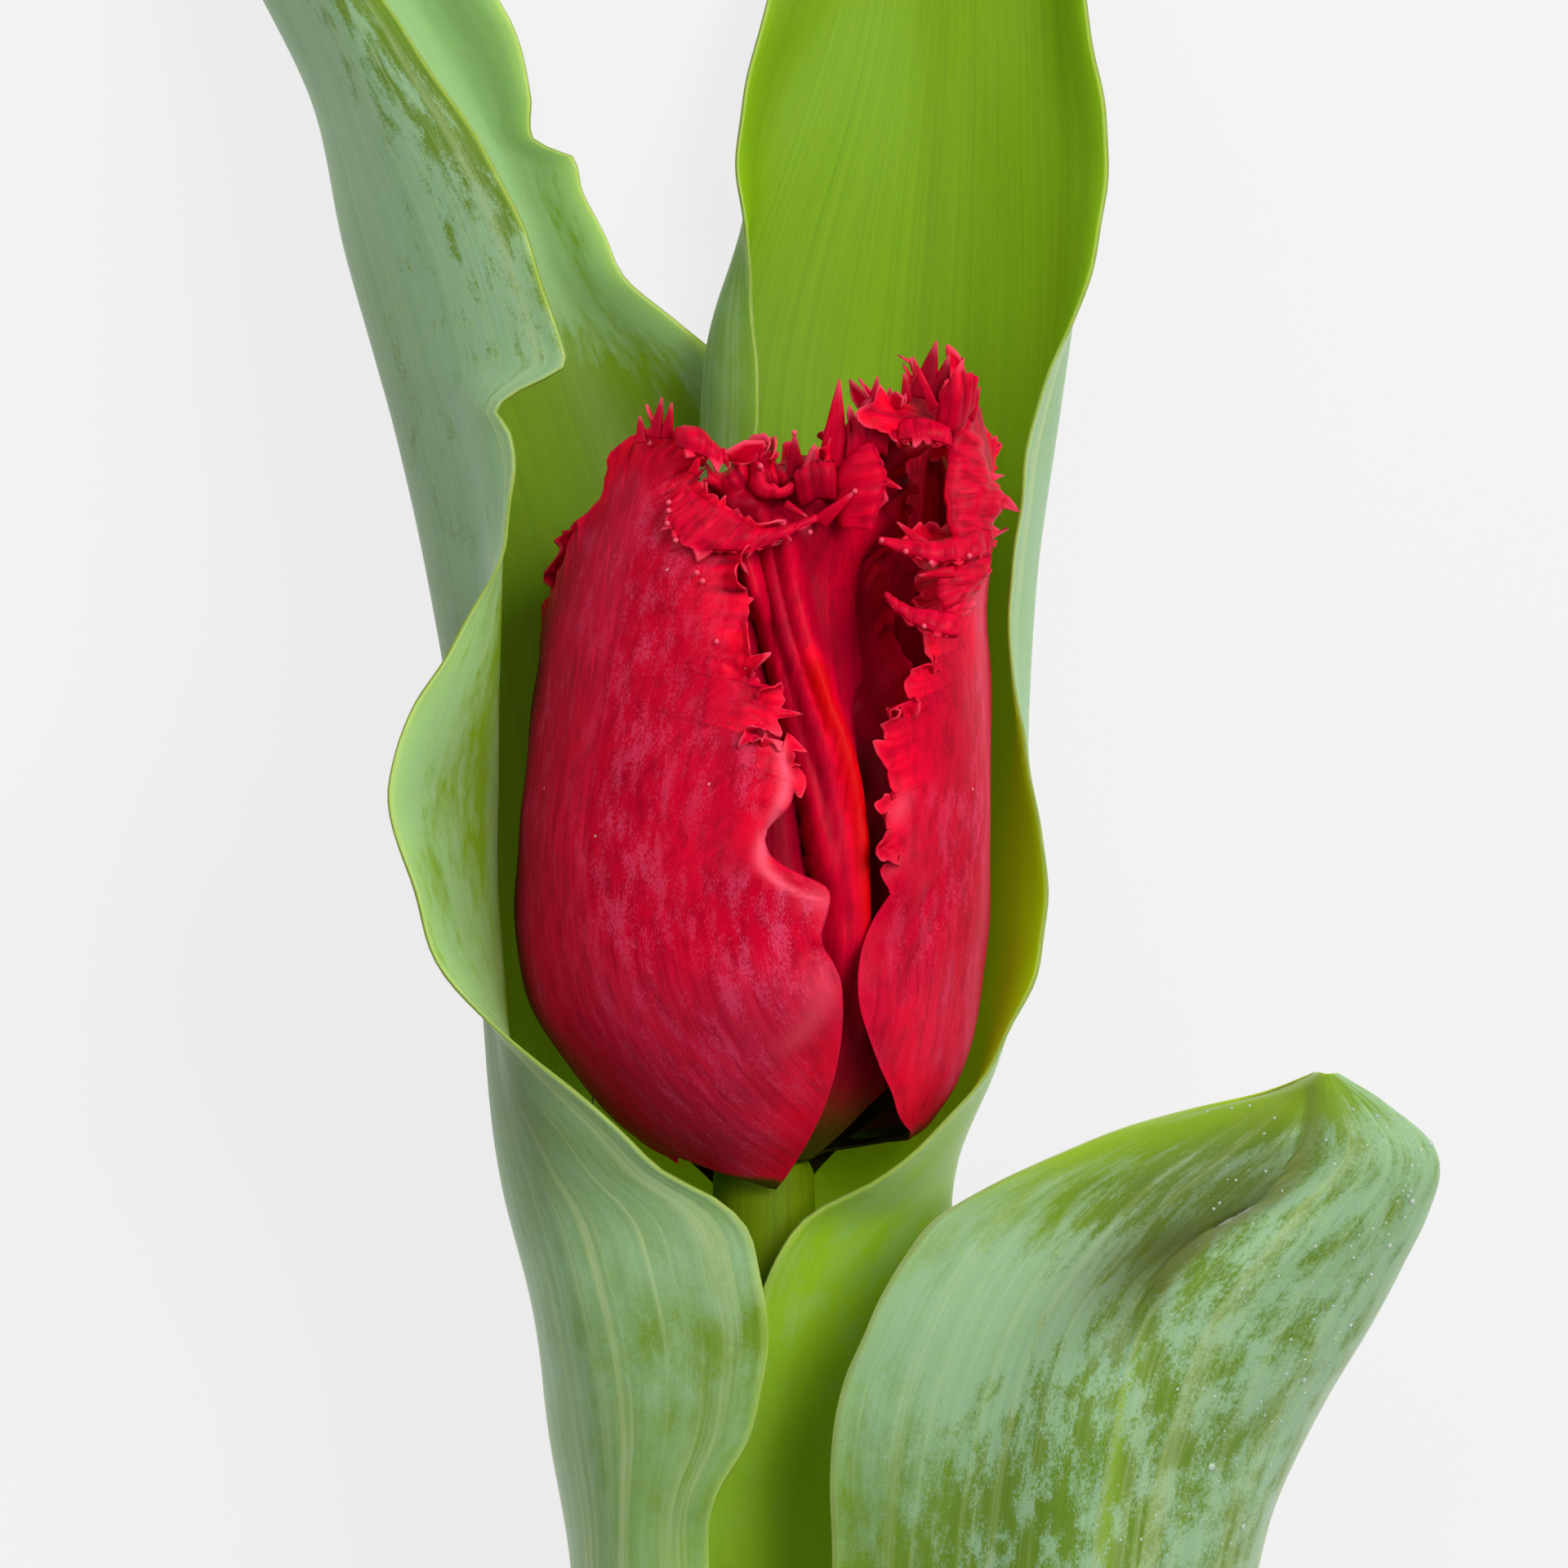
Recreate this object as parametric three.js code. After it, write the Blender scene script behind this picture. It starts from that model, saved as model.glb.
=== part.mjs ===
// A cut fringed tulip lying on its back: one stem, three clasping leaves and a half-closed
// flower with six tepals, six stamens and a pistil.
//
// Millimetres. +Y runs from the cut end of the stem to the flower, +X to the flower's right,
// +Z up from the surface that the tulip lies on. Every piece is placed from one point, the foot
// of the flower, where the axis of the flower meets the top of the stem.

import * as THREE from 'three';

// ---------------------------------------------------------------- driving dimensions

const AXIS_HEIGHT = 24.5; // flower axis above the surface
const STEM_LENGTH = 280; // cut end to the foot of the flower
const STEM_SAG = 20.3; // how far the stem drops to reach the surface at its cut end
const STEM_DRIFT = -6; // sideways bend of the stem at its cut end
const STEM_STRAIGHT_END = 30; // length of stem that lies flat on the surface
const STEM_RADIUS = { cut: 4.2, top: 3.7 };
const STEM_SIDES = 14;
const STEM_PIECES = 22;
// The cone at the top of the stem that carries the tepals, from its edge to its blunt end.
const RECEPTACLE = { edge: -2, shoulder: 0.4, shoulderRadius: 3.6, end: 3, endRadius: 2.2 };

const LEAF_THICKNESS = 1.0;
const TEPAL_THICKNESS = 0.8;
const MARGIN_SHARPNESS = 6; // a higher power keeps a blade thick until closer to its margin
const LEAF_STEP = 9; // longest stretch of leaf between two rows of points
const LEAF_COLUMNS = 10;
const TEPAL_ROWS = 14;
const TEPAL_COLUMNS = 8;

// Six stamens stand on a ring round the pistil and lean outwards, by radians.
const STAMEN = {
  count: 6, sides: 8, ring: 3.9, foot: 3.6, firstAzimuth: 30, lean: 0.13, filament: 9, anther: 11,
};
const PISTIL = { foot: 4.2, height: 24, ovaryRadius: 2.7, lobes: 3, sides: 18 };

// ---------------------------------------------------------------- colours of the pieces

const GREEN_STEM = 0x77803a;
const GREEN_LEAF = 0x6f9a55;
const CRIMSON = 0xb0122e;
const SCARLET = 0xc01020;
const ANTHER_VIOLET = 0x33213a;
const PISTIL_GREEN = 0xb9c47a;

// ---------------------------------------------------------------- curves

// Cubic through values[i] at knots[i]; the slope at a knot is that between its two neighbours.
function splineAt(knots, values, at) {
  const last = knots.length - 1;
  const slope = (i) => {
    const a = Math.max(i - 1, 0);
    const b = Math.min(i + 1, last);
    return (values[b] - values[a]) / (knots[b] - knots[a]);
  };
  let i = 0;
  while (i < last - 1 && at > knots[i + 1]) i += 1;
  const span = knots[i + 1] - knots[i];
  const t = (at - knots[i]) / span;
  const rise = t * t * (3 - 2 * t);
  return values[i] * (1 - rise) + values[i + 1] * rise
    + span * t * (1 - t) * ((1 - t) * slope(i) - t * slope(i + 1));
}

// The axis of the stem at a given height below the flower, as [x, z].
function stemAxis(y) {
  const t = THREE.MathUtils.clamp(-y / (STEM_LENGTH - STEM_STRAIGHT_END), 0, 1);
  return [STEM_DRIFT * t * t, -STEM_SAG * t * t * (3 - 2 * t)];
}

// A point at an azimuth round the flower axis: 0 degrees faces up, 90 degrees faces right.
function around(y, radius, degrees, centre = [0, 0]) {
  const angle = THREE.MathUtils.degToRad(degrees);
  return new THREE.Vector3(centre[0] + radius * Math.sin(angle), y, centre[1] + radius * Math.cos(angle));
}

// ---------------------------------------------------------------- thin blades

// A closed thin solid over a grid of points, rows[i][j]: the two faces lie half a thickness
// either side of the grid and meet in a sharp edge all the way round.
function bladeGeometry(rows, thickness) {
  const last = { row: rows.length - 1, column: rows[0].length - 1 };
  const clampRow = (i) => Math.min(Math.max(i, 0), last.row);
  const clampColumn = (j) => Math.min(Math.max(j, 0), last.column);
  const normalAt = (i, j) => {
    const along = rows[clampRow(i + 1)][j].clone().sub(rows[clampRow(i - 1)][j]);
    const across = rows[i][clampColumn(j + 1)].clone().sub(rows[i][clampColumn(j - 1)]);
    return across.cross(along).normalize();
  };
  const bulge = (index, count) => 1 - Math.abs((2 * index) / count - 1) ** MARGIN_SHARPNESS;

  const positions = [];
  for (const side of [1, -1]) {
    rows.forEach((row, i) => row.forEach((point, j) => {
      const lift = 0.5 * thickness * bulge(i, last.row) * bulge(j, last.column);
      positions.push(...point.clone().addScaledVector(normalAt(i, j), side * lift));
    }));
  }

  const width = last.column + 1;
  const faceSize = width * rows.length;
  const indices = [];
  for (let i = 0; i < last.row; i += 1) {
    for (let j = 0; j < last.column; j += 1) {
      const a = i * width + j;
      const [b, c, d] = [a + 1, a + width + 1, a + width];
      indices.push(a, b, c, a, c, d);
      indices.push(...[a, c, b, a, d, c].map((corner) => corner + faceSize));
    }
  }
  const geometry = new THREE.BufferGeometry();
  geometry.setAttribute('position', new THREE.Float32BufferAttribute(positions, 3));
  geometry.setIndex(indices);
  geometry.computeVertexNormals();
  return geometry;
}

// ---------------------------------------------------------------- leaves

// A leaf is lofted over five rails that run from its foot to its tip: one margin, three lines
// in the blade and the other margin. A rail is a list of points [y, x, z]. Where the leaf clasps
// the stem, `sheath` gives rings [y, radius, azimuth of each rail] round the stem's axis.
const LEAF_UPPER = {
  sheath: [
    [-78, 4.9, [-75, -140, 152, 84, 14]],
    [-66, 5.3, [-78, -142, 150, 82, 12]],
    [-50, 6.2, [-85, -146, 150, 80, 5]],
  ],
  rails: [
    [[-30, -7.5, -3.5], [-14, -9.5, -8], [0, -11.5, -12], [15, -12.5, -14], [32, -11, -16],
      [46, -5, -16.8], [54, -1.4, -16.4], [65, -1.3, -16.8], [76, -1.8, -17.4], [85, 0, -18.4],
      [100, 4.5, -20.6], [115, 9, -22.8], [124, 12, -23.6], [130, 15.6, -24]],
    [[-30, -5, -10.5], [-14, -6, -15], [0, -6.5, -18.4], [15, -6, -20], [32, -5.4, -20.4],
      [46, -4.4, -20.2], [59, -2.4, -20.2], [85, 5, -21.4], [115, 12, -23.6], [130, 15.8, -24]],
    [[-30, 5, -12.5], [-14, 7, -16.5], [0, 8, -19.2], [15, 8.5, -20.4], [32, 9, -20.8],
      [46, 9.6, -21], [59, 10.5, -21.6], [85, 12.6, -23.2], [115, 15.2, -24], [130, 16, -24]],
    [[-30, 10.4, -1.4], [-14, 12.4, -2], [-4, 13.6, -2.6], [2, 14.6, -4], [8.5, 16.2, -5],
      [20, 18.4, -6], [32, 19.4, -7.5], [50, 20.6, -11.5], [70, 21, -17], [85, 20.2, -20.8],
      [115, 17.6, -23.6], [130, 16.2, -24]],
    [[-30, -3.6, 6.6], [-14, -1.8, 6.4], [-6.7, 0.6, 6.4], [-3, 3.1, 6.2], [-0.4, 7.7, 6.6],
      [3.8, 12.6, 6.8], [8.5, 16.5, 6.8], [14, 19.4, 6.8], [19, 20.2, 6.8], [24, 19.8, 6.2],
      [31, 18.6, 4.6], [41, 18.2, 1.5], [54, 19.6, -4], [66, 23.6, -10.5], [76, 25.3, -13.5],
      [85, 23.4, -16.5], [100, 21.6, -20], [115, 19.6, -22.6], [130, 16.4, -23.9]],
  ],
};

const LEAF_MIDDLE = {
  sheath: [
    [-135, 6.0, [120, -170, -98, -28, 40]],
    [-120, 6.5, [122, -168, -98, -28, 38]],
    [-100, 8.2, [128, -165, -97, -30, 28]],
  ],
  rails: [
    [[-75, 10.5, -13.5], [-50, 12, -15.5], [-25, 13, -18.4], [0, 13, -21.4], [20, 11, -22.8],
      [40, 6, -23.5], [52, 1.5, -23.2], [60, -3, -22.6], [66, -10.4, -21.4], [72, -13.6, -21],
      [79, -16.8, -21.2], [85, -18.9, -21.4], [95, -26, -22], [105, -36, -23],
      [112, -44.5, -23.8], [117.5, -50.6, -24]],
    [[-75, -1.5, -17.8], [-50, -3, -19], [-25, -4.5, -20.6], [0, -5.5, -22.3], [20, -6.5, -22.8],
      [40, -9, -22.8], [60, -15, -22.6], [79, -23.2, -22.8], [95, -32.5, -23.4],
      [105, -40.5, -23.8], [117.5, -51, -24]],
    [[-75, -11.2, -8.5], [-50, -12.2, -6.5], [-27, -13.6, -4], [-15, -15.4, -3.2], [-2, -17.4, -3],
      [10, -19.6, -4], [25, -21, -6], [37.5, -22.4, -8], [50, -25.1, -9.5], [67, -29.9, -11.5],
      [79, -33, -13.8], [95, -40, -18.2], [105, -45.4, -21], [117.5, -51.3, -23.8]],
    [[-75, -9.3, 3.4], [-50, -10.4, 6.2], [-28, -11, 8.4], [-15, -12, 9.4], [-5, -15, 8.6],
      [2, -17.6, 7.6], [9, -19.4, 6.6], [20, -20.6, 5.4], [32, -20.4, 4.4], [41, -19.9, 3.2],
      [50, -20.4, 2], [67, -24.6, -1.6], [79, -29.4, -5.6], [95, -37.5, -13.5],
      [105, -44, -19], [117.5, -51.2, -23.6]],
    [[-75, -1.8, 6.6], [-50, -3.2, 9], [-35, -3.2, 10.2], [-25.5, -4, 11], [-18.5, -1.1, 11],
      [-10.8, 0.5, 10.8], [-3.3, -1.3, 10.6], [-1, -4.4, 10.8], [3.1, -10.1, 12], [8.7, -16.5, 12],
      [17.4, -23.6, 11.4], [24, -26, 11], [28.2, -26.8, 10.4], [33.8, -24.8, 9.6],
      [41.2, -20.6, 8.4], [50, -18.6, 6.8], [60, -15.2, 4.4], [69.4, -17.8, 2.8],
      [79.5, -23.8, -1.4], [85, -27.6, -5], [95, -35.2, -12], [105, -42.6, -18.2],
      [117.5, -51, -23.6]],
  ],
};

const LEAF_LOWER = {
  sheath: [
    [-205, 5.2, [-70, 0, 62, 126, -165]],
    [-190, 5.7, [-62, 4, 64, 126, -168]],
    [-170, 7.2, [-50, 8, 66, 124, -178]],
  ],
  rails: [
    [[-130, -3.5, 1.5], [-95, 0.5, 6.8], [-60, 3.6, 10.8], [-40, 4.8, 12.6], [-19, 4.9, 12.8],
      [-14, 5.9, 12.4], [-8, 8.5, 11.2], [-2.4, 12.7, 7.6], [1.8, 18.7, 4.6], [4.1, 27.4, 3.6],
      [5.6, 33.3, 4.6], [7.4, 39.4, 9.2]],
    [[-130, 4.4, 2.8], [-95, 8.5, 9], [-60, 12, 13], [-28, 13.8, 15.2], [-11, 17.6, 13.8],
      [-2.4, 23.8, 8.4], [1.8, 29.3, 7], [5.6, 36.3, 8.6], [7.4, 39.9, 10.4]],
    [[-130, 12, -2], [-95, 16.8, 6.5], [-60, 20.8, 13.4], [-28, 23.2, 17], [-11, 26.6, 17.4],
      [-2.4, 33.8, 15.4], [1.8, 38.4, 14.2], [5.6, 39.8, 12.4], [7.4, 40.5, 11.4]],
    [[-130, 13.6, -14], [-95, 22.5, -7], [-60, 30, 0], [-40, 34, 3], [-19, 39.4, 6.5],
      [-10.8, 43, 8.5], [-2.4, 47, 10.4], [1.8, 48.2, 11], [5.6, 43.6, 11.6], [7.4, 41, 11.4]],
    [[-130, 2.6, -20.5], [-95, 13, -23.2], [-60, 26, -24.3], [-40, 33, -21], [-19, 40, -11],
      [-10.8, 43, -5], [-2.4, 46, 2.4], [1.8, 46.4, 6.4], [5.6, 44.2, 10.2], [7.4, 41.2, 11]],
  ],
};

// The rail with its first points on the rings of the sheath, as three lists of coordinates.
function fullRail(leaf, index) {
  const clasping = leaf.sheath.map(([y, radius, azimuths]) => {
    const point = around(y, radius, azimuths[index], stemAxis(y));
    return [y, point.x, point.z];
  });
  const points = [...clasping, ...leaf.rails[index]];
  return { y: points.map((p) => p[0]), x: points.map((p) => p[1]), z: points.map((p) => p[2]) };
}

// Heights of the leaf's rows: every point of the two margins, with long stretches divided.
function leafHeights(first, last) {
  const knots = [...new Set([...first.y, ...last.y])].sort((a, b) => a - b);
  const heights = [knots[0]];
  for (const knot of knots.slice(1)) {
    const below = heights[heights.length - 1];
    const parts = Math.ceil((knot - below) / LEAF_STEP);
    for (let part = 1; part <= parts; part += 1) {
      heights.push(THREE.MathUtils.lerp(below, knot, part / parts));
    }
  }
  const closest = 1;
  return heights.filter((y, i) => i === 0 || i === heights.length - 1 || y - heights[i - 1] > closest);
}

function leafGeometry(leaf) {
  const rails = leaf.rails.map((_, index) => fullRail(leaf, index));
  const knots = rails.map((_, index) => index);
  return bladeGeometry(leafHeights(rails[0], rails[rails.length - 1]).map((y) => {
    const xs = rails.map((rail) => splineAt(rail.y, rail.x, y));
    const zs = rails.map((rail) => splineAt(rail.y, rail.z, y));
    return Array.from({ length: LEAF_COLUMNS + 1 }, (_, column) => {
      const at = (column / LEAF_COLUMNS) * (rails.length - 1);
      return new THREE.Vector3(splineAt(knots, xs, at), y, splineAt(knots, zs, at));
    });
  }), LEAF_THICKNESS);
}

// ---------------------------------------------------------------- tepals

// A tepal is given by stations from its claw to its tip: [y, radius, azimuth of the left margin,
// azimuth of the right margin]. The three outer tepals close round the three inner ones.
const OUTER_LEFT = [
  [-1, 4.6, -75, 12], [1, 6.6, -95, 6], [4, 10.6, -106, 12], [8, 14.3, -112, 17],
  [13, 17.1, -114, 18], [19, 18.1, -114, 12], [26, 18, -113, 4], [33, 17.4, -112, 4],
  [39, 16.6, -108, -3], [45, 15.2, -98, -14], [50, 13.6, -78, -22], [56, 11.8, -52, -34],
];
const OUTER_RIGHT = [
  [-1, 4.6, 55, 118], [1, 6.6, 58, 122], [4, 10.8, 55, 126], [8, 14, 37, 128],
  [13, 15.8, 27, 128], [19, 16.4, 27, 128], [26, 16.6, 30, 128], [33, 16.6, 34, 127],
  [39, 16.4, 44, 124], [45, 16.2, 50, 120], [52, 16, 52, 112], [58, 15, 58, 88],
];
const OUTER_BACK = [
  [-1, 4.6, 150, 220], [1, 6.6, 142, 230], [4, 10.4, 136, 238], [8, 14, 132, 242],
  [13, 16.6, 131, 243], [19, 17.6, 131, 243], [26, 17.6, 131, 243], [33, 17, 132, 242],
  [39, 16.2, 136, 239], [45, 15, 142, 232], [51, 13.6, 152, 222], [57, 12, 172, 202],
];
const INNER_FRONT = [
  [1.2, 3.8, -12, 52], [2.4, 5.2, -16, 56], [5, 8.4, -20, 60], [9, 11.8, -24, 64],
  [14, 14, -26, 66], [20, 14.8, -27, 67], [27, 14.6, -27, 67], [34, 13.9, -26, 66],
  [40, 13, -24, 64], [46, 11.8, -20, 62], [52, 10.6, -12, 56], [57, 9.6, 8, 44],
];
const INNER_RIGHT = [
  [1.2, 3.8, 108, 172], [2.4, 5.2, 104, 176], [5, 8.4, 98, 182], [9, 11.8, 92, 188],
  [14, 13.8, 88, 191], [20, 14.4, 86, 192], [27, 14.2, 86, 192], [34, 13.6, 88, 190],
  [40, 12.8, 92, 186], [46, 11.6, 100, 180], [51, 10.4, 112, 170], [55, 9.6, 128, 152],
];
const INNER_LEFT = [
  [1.2, 3.8, -132, -68], [2.4, 5.2, -136, -62], [5, 8.4, -142, -56], [9, 11.8, -146, -50],
  [14, 14, -148, -46], [20, 14.8, -149, -44], [27, 14.6, -149, -44], [34, 13.9, -147, -46],
  [40, 13, -142, -50], [46, 11.8, -132, -58], [51, 10.6, -122, -70], [55, 9.8, -106, -84],
];

function tepalGeometry(stations) {
  const knots = stations.map((_, index) => index);
  const column = (k) => stations.map((station) => station[k]);
  const [ys, radii, lefts, rights] = [0, 1, 2, 3].map(column);
  return bladeGeometry(Array.from({ length: TEPAL_ROWS + 1 }, (_, i) => {
    const at = (i / TEPAL_ROWS) * (stations.length - 1);
    const left = splineAt(knots, lefts, at);
    const right = splineAt(knots, rights, at);
    return Array.from({ length: TEPAL_COLUMNS + 1 }, (__, j) => around(
      splineAt(knots, ys, at),
      splineAt(knots, radii, at),
      THREE.MathUtils.lerp(left, right, j / TEPAL_COLUMNS),
    ));
  }), TEPAL_THICKNESS);
}

// ---------------------------------------------------------------- stem, stamens and pistil

// A body swept along +Y: rings of points, closed by a flat fan at either end.
function sweptGeometry(rings) {
  const count = rings[0].length;
  const centre = (ring) => ring.reduce((sum, p) => sum.add(p), new THREE.Vector3()).divideScalar(count);
  const last = rings.length - 1;
  const positions = [...rings.flat(), centre(rings[0]), centre(rings[last])].flatMap((p) => [...p]);
  const [foot, head] = [count * rings.length, count * rings.length + 1];
  const indices = [];
  for (let j = 0; j < count; j += 1) {
    const next = (j + 1) % count;
    for (let i = 0; i < last; i += 1) {
      const [a, b, c, d] = [i * count + j, i * count + next, (i + 1) * count + next, (i + 1) * count + j];
      indices.push(a, b, c, a, c, d);
    }
    indices.push(foot, next, j, head, last * count + j, last * count + next);
  }
  const geometry = new THREE.BufferGeometry();
  geometry.setAttribute('position', new THREE.Float32BufferAttribute(positions, 3));
  geometry.setIndex(indices);
  geometry.computeVertexNormals();
  return geometry;
}

function ring(y, radius, sides, centre = [0, 0], lobes = 0, lobeDepth = 0) {
  return Array.from({ length: sides }, (_, j) => {
    const degrees = (360 * j) / sides;
    const swell = 1 + lobeDepth * Math.cos(THREE.MathUtils.degToRad(degrees * lobes));
    return around(y, radius * swell, degrees, centre);
  });
}

function stemGeometry() {
  const { edge, shoulder, shoulderRadius, end, endRadius } = RECEPTACLE;
  const rings = Array.from({ length: STEM_PIECES + 1 }, (_, i) => {
    const y = THREE.MathUtils.lerp(-STEM_LENGTH, edge, i / STEM_PIECES);
    const radius = THREE.MathUtils.lerp(STEM_RADIUS.cut, STEM_RADIUS.top, i / STEM_PIECES);
    return ring(y, radius, STEM_SIDES, stemAxis(y));
  });
  rings.push(ring(shoulder, shoulderRadius, STEM_SIDES), ring(end, endRadius, STEM_SIDES));
  return sweptGeometry(rings);
}

// One stamen, standing on +Y at the origin: a tapered filament and a long anther.
function stamenGeometry() {
  const { filament, anther } = STAMEN;
  const profile = [
    [0, 0.8], [filament * 0.6, 0.6], [filament, 0.35], [filament + 0.6, 1.1],
    [filament + 0.3 * anther, 1.5], [filament + 0.75 * anther, 1.3], [filament + anther, 0.5],
  ];
  return sweptGeometry(profile.map(([y, radius]) => ring(y, radius, STAMEN.sides)));
}

// The pistil: a three-sided ovary with a frilled stigma of three lobes.
function pistilGeometry() {
  const { foot, height, ovaryRadius, lobes, sides } = PISTIL;
  const profile = [
    [0, 0.62, 0], [0.12, 0.9, 0.06], [0.35, 1, 0.1], [0.6, 0.92, 0.1], [0.76, 0.7, 0.08],
    [0.84, 0.85, 0.2], [0.92, 1.3, 0.3], [1, 0.9, 0.35],
  ];
  return sweptGeometry(profile.map(([h, radius, depth]) => (
    ring(foot + h * height, radius * ovaryRadius, sides, [0, 0], lobes, depth))));
}

// ---------------------------------------------------------------- the tulip

function piece(name, geometry, color, roughness) {
  const mesh = new THREE.Mesh(geometry, new THREE.MeshStandardMaterial({ color, roughness, metalness: 0 }));
  mesh.name = name;
  return mesh;
}

function makeStamens() {
  return Array.from({ length: STAMEN.count }, (_, i) => {
    const azimuth = STAMEN.firstAzimuth + (360 * i) / STAMEN.count;
    const stamen = piece(`stamen_${i + 1}`, stamenGeometry(), ANTHER_VIOLET, 0.8);
    stamen.position.copy(around(STAMEN.foot, STAMEN.ring, azimuth));
    const outward = around(0, 1, azimuth);
    const tiltAxis = new THREE.Vector3(outward.z, 0, -outward.x);
    stamen.quaternion.setFromAxisAngle(tiltAxis, STAMEN.lean);
    return stamen;
  });
}

function makeTulip() {
  const tulip = new THREE.Group();
  tulip.add(
    piece('stem', stemGeometry(), GREEN_STEM, 0.5),
    piece('leaf_lower', leafGeometry(LEAF_LOWER), GREEN_LEAF, 0.55),
    piece('leaf_middle', leafGeometry(LEAF_MIDDLE), GREEN_LEAF, 0.55),
    piece('leaf_upper', leafGeometry(LEAF_UPPER), GREEN_LEAF, 0.55),
    piece('tepal_outer_left', tepalGeometry(OUTER_LEFT), CRIMSON, 0.45),
    piece('tepal_outer_right', tepalGeometry(OUTER_RIGHT), CRIMSON, 0.45),
    piece('tepal_outer_back', tepalGeometry(OUTER_BACK), CRIMSON, 0.45),
    piece('tepal_inner_front', tepalGeometry(INNER_FRONT), SCARLET, 0.4),
    piece('tepal_inner_right', tepalGeometry(INNER_RIGHT), SCARLET, 0.4),
    piece('tepal_inner_left', tepalGeometry(INNER_LEFT), SCARLET, 0.4),
    piece('pistil', pistilGeometry(), PISTIL_GREEN, 0.6),
    ...makeStamens(),
  );
  const box = new THREE.Box3().setFromObject(tulip);
  const middle = box.getCenter(new THREE.Vector3());
  tulip.position.set(-middle.x, -middle.y, AXIS_HEIGHT);
  return tulip;
}

export default makeTulip();
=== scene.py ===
"""A cut fringed tulip that lies on its back: stem, leaves, fringed tepals, stamens and pistil.

Laid out as an add-on. Sizes are in millimetres, measured from the foot of the flower: x to the
flower's right, y up the flower, z away from the surface. MM turns them into metres, and the stamens
and the stem of the frame say where the foot of the flower is.
"""
import math

import bpy
import mathutils
import numpy as np
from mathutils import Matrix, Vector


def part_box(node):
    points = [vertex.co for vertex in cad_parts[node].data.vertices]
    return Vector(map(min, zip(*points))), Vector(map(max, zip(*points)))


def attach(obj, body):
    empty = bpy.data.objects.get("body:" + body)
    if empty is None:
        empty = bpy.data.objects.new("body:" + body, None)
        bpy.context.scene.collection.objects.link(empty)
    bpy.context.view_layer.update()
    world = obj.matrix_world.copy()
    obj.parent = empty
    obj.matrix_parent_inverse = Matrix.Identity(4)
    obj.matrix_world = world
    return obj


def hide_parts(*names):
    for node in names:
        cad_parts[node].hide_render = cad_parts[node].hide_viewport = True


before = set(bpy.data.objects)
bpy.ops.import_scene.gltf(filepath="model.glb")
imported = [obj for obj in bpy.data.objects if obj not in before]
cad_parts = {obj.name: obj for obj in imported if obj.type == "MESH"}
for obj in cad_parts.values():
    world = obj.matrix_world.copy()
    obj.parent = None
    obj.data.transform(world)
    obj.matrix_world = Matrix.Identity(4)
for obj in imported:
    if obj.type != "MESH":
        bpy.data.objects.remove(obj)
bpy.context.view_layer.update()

bl_info = {
    "name": "Fringed tulip",
    "version": (1, 0, 0),
    "blender": (4, 5, 0),
    "location": "View3D > Sidebar > Tulip",
    "description": "Builds a cut fringed tulip around its packed frame",
    "category": "Add Mesh",
}

MM = 0.001
STEM_LENGTH = 280.0
STEM_SAG = 20.3  # how far the axis of the cut end lies below the flower's
STEM_DRIFT = -6.0  # and how far to its right, left where negative
STEM_STRAIGHT_END = 30.0  # length that lies straight before the cut
RECEPTACLE_END = 3.0  # the stem ends this far up inside the flower
STAMEN_COUNT = 6


def flower_foot():
    """The foot of the flower in the frame, in metres: on the axis that the stamens stand round,
    at the height where the stem's receptacle starts."""
    boxes = [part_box(f"stamen_{i + 1}") for i in range(STAMEN_COUNT)]
    low = np.min([box[0] for box in boxes], axis=0)
    high = np.max([box[1] for box in boxes], axis=0)
    foot = 0.5 * (low + high)
    foot[1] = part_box("stem")[1][1] - RECEPTACLE_END * MM
    return foot


FOOT = flower_foot()

# ------------------------------------------------------------------------------ curves and noise


def cubic(knots, values, at):
    """Cubic through values at knots; the slope at a knot is that between its two neighbours.
    values may have a second axis, whose columns are worked out together."""
    knots, values, at = (np.asarray(given, float) for given in (knots, values, at))
    columns = values.reshape(len(knots), -1)
    before = np.maximum(np.arange(len(knots)) - 1, 0)
    after = np.minimum(np.arange(len(knots)) + 1, len(knots) - 1)
    rise = (columns[after] - columns[before]) / (knots[after] - knots[before])[:, None]
    i = np.clip(np.searchsorted(knots, at, side="right") - 1, 0, len(knots) - 2)
    span = (knots[i + 1] - knots[i])[..., None]
    t = (at - knots[i])[..., None] / span
    blend = t * t * (3 - 2 * t)
    bend = span * t * (1 - t) * ((1 - t) * rise[i] - t * rise[i + 1])
    found = columns[i] * (1 - blend) + columns[i + 1] * blend + bend
    return found.reshape(at.shape + values.shape[1:])


def table_at(rows, at):
    """A table of (place, value), straight from row to row and level past its ends."""
    return np.interp(at, *zip(*rows))


def curve_at(rows, at):
    """A table of (place, value), as a cubic through its rows."""
    return cubic(*zip(*rows), at)


def smooth(low, high, at):
    """0 below low and 1 above high, with an S curve between."""
    t = np.clip((np.asarray(at, float) - low) / (high - low), 0, 1)
    return t * t * (3 - 2 * t)


def waves(at, wavelength, seed, count=7):
    """Smooth noise of about unit size along a line: a sum of sines whose wavelengths lie round
    the given one, with seeded phases."""
    random = np.random.default_rng(seed)
    lengths = wavelength * np.exp(0.4 * random.standard_normal(count))
    phases = random.uniform(0, 2 * np.pi, count)
    sines = np.sin(2 * np.pi * np.asarray(at, float)[..., None] / lengths + phases)
    return sines.sum(-1) * math.sqrt(2 / count)


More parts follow.
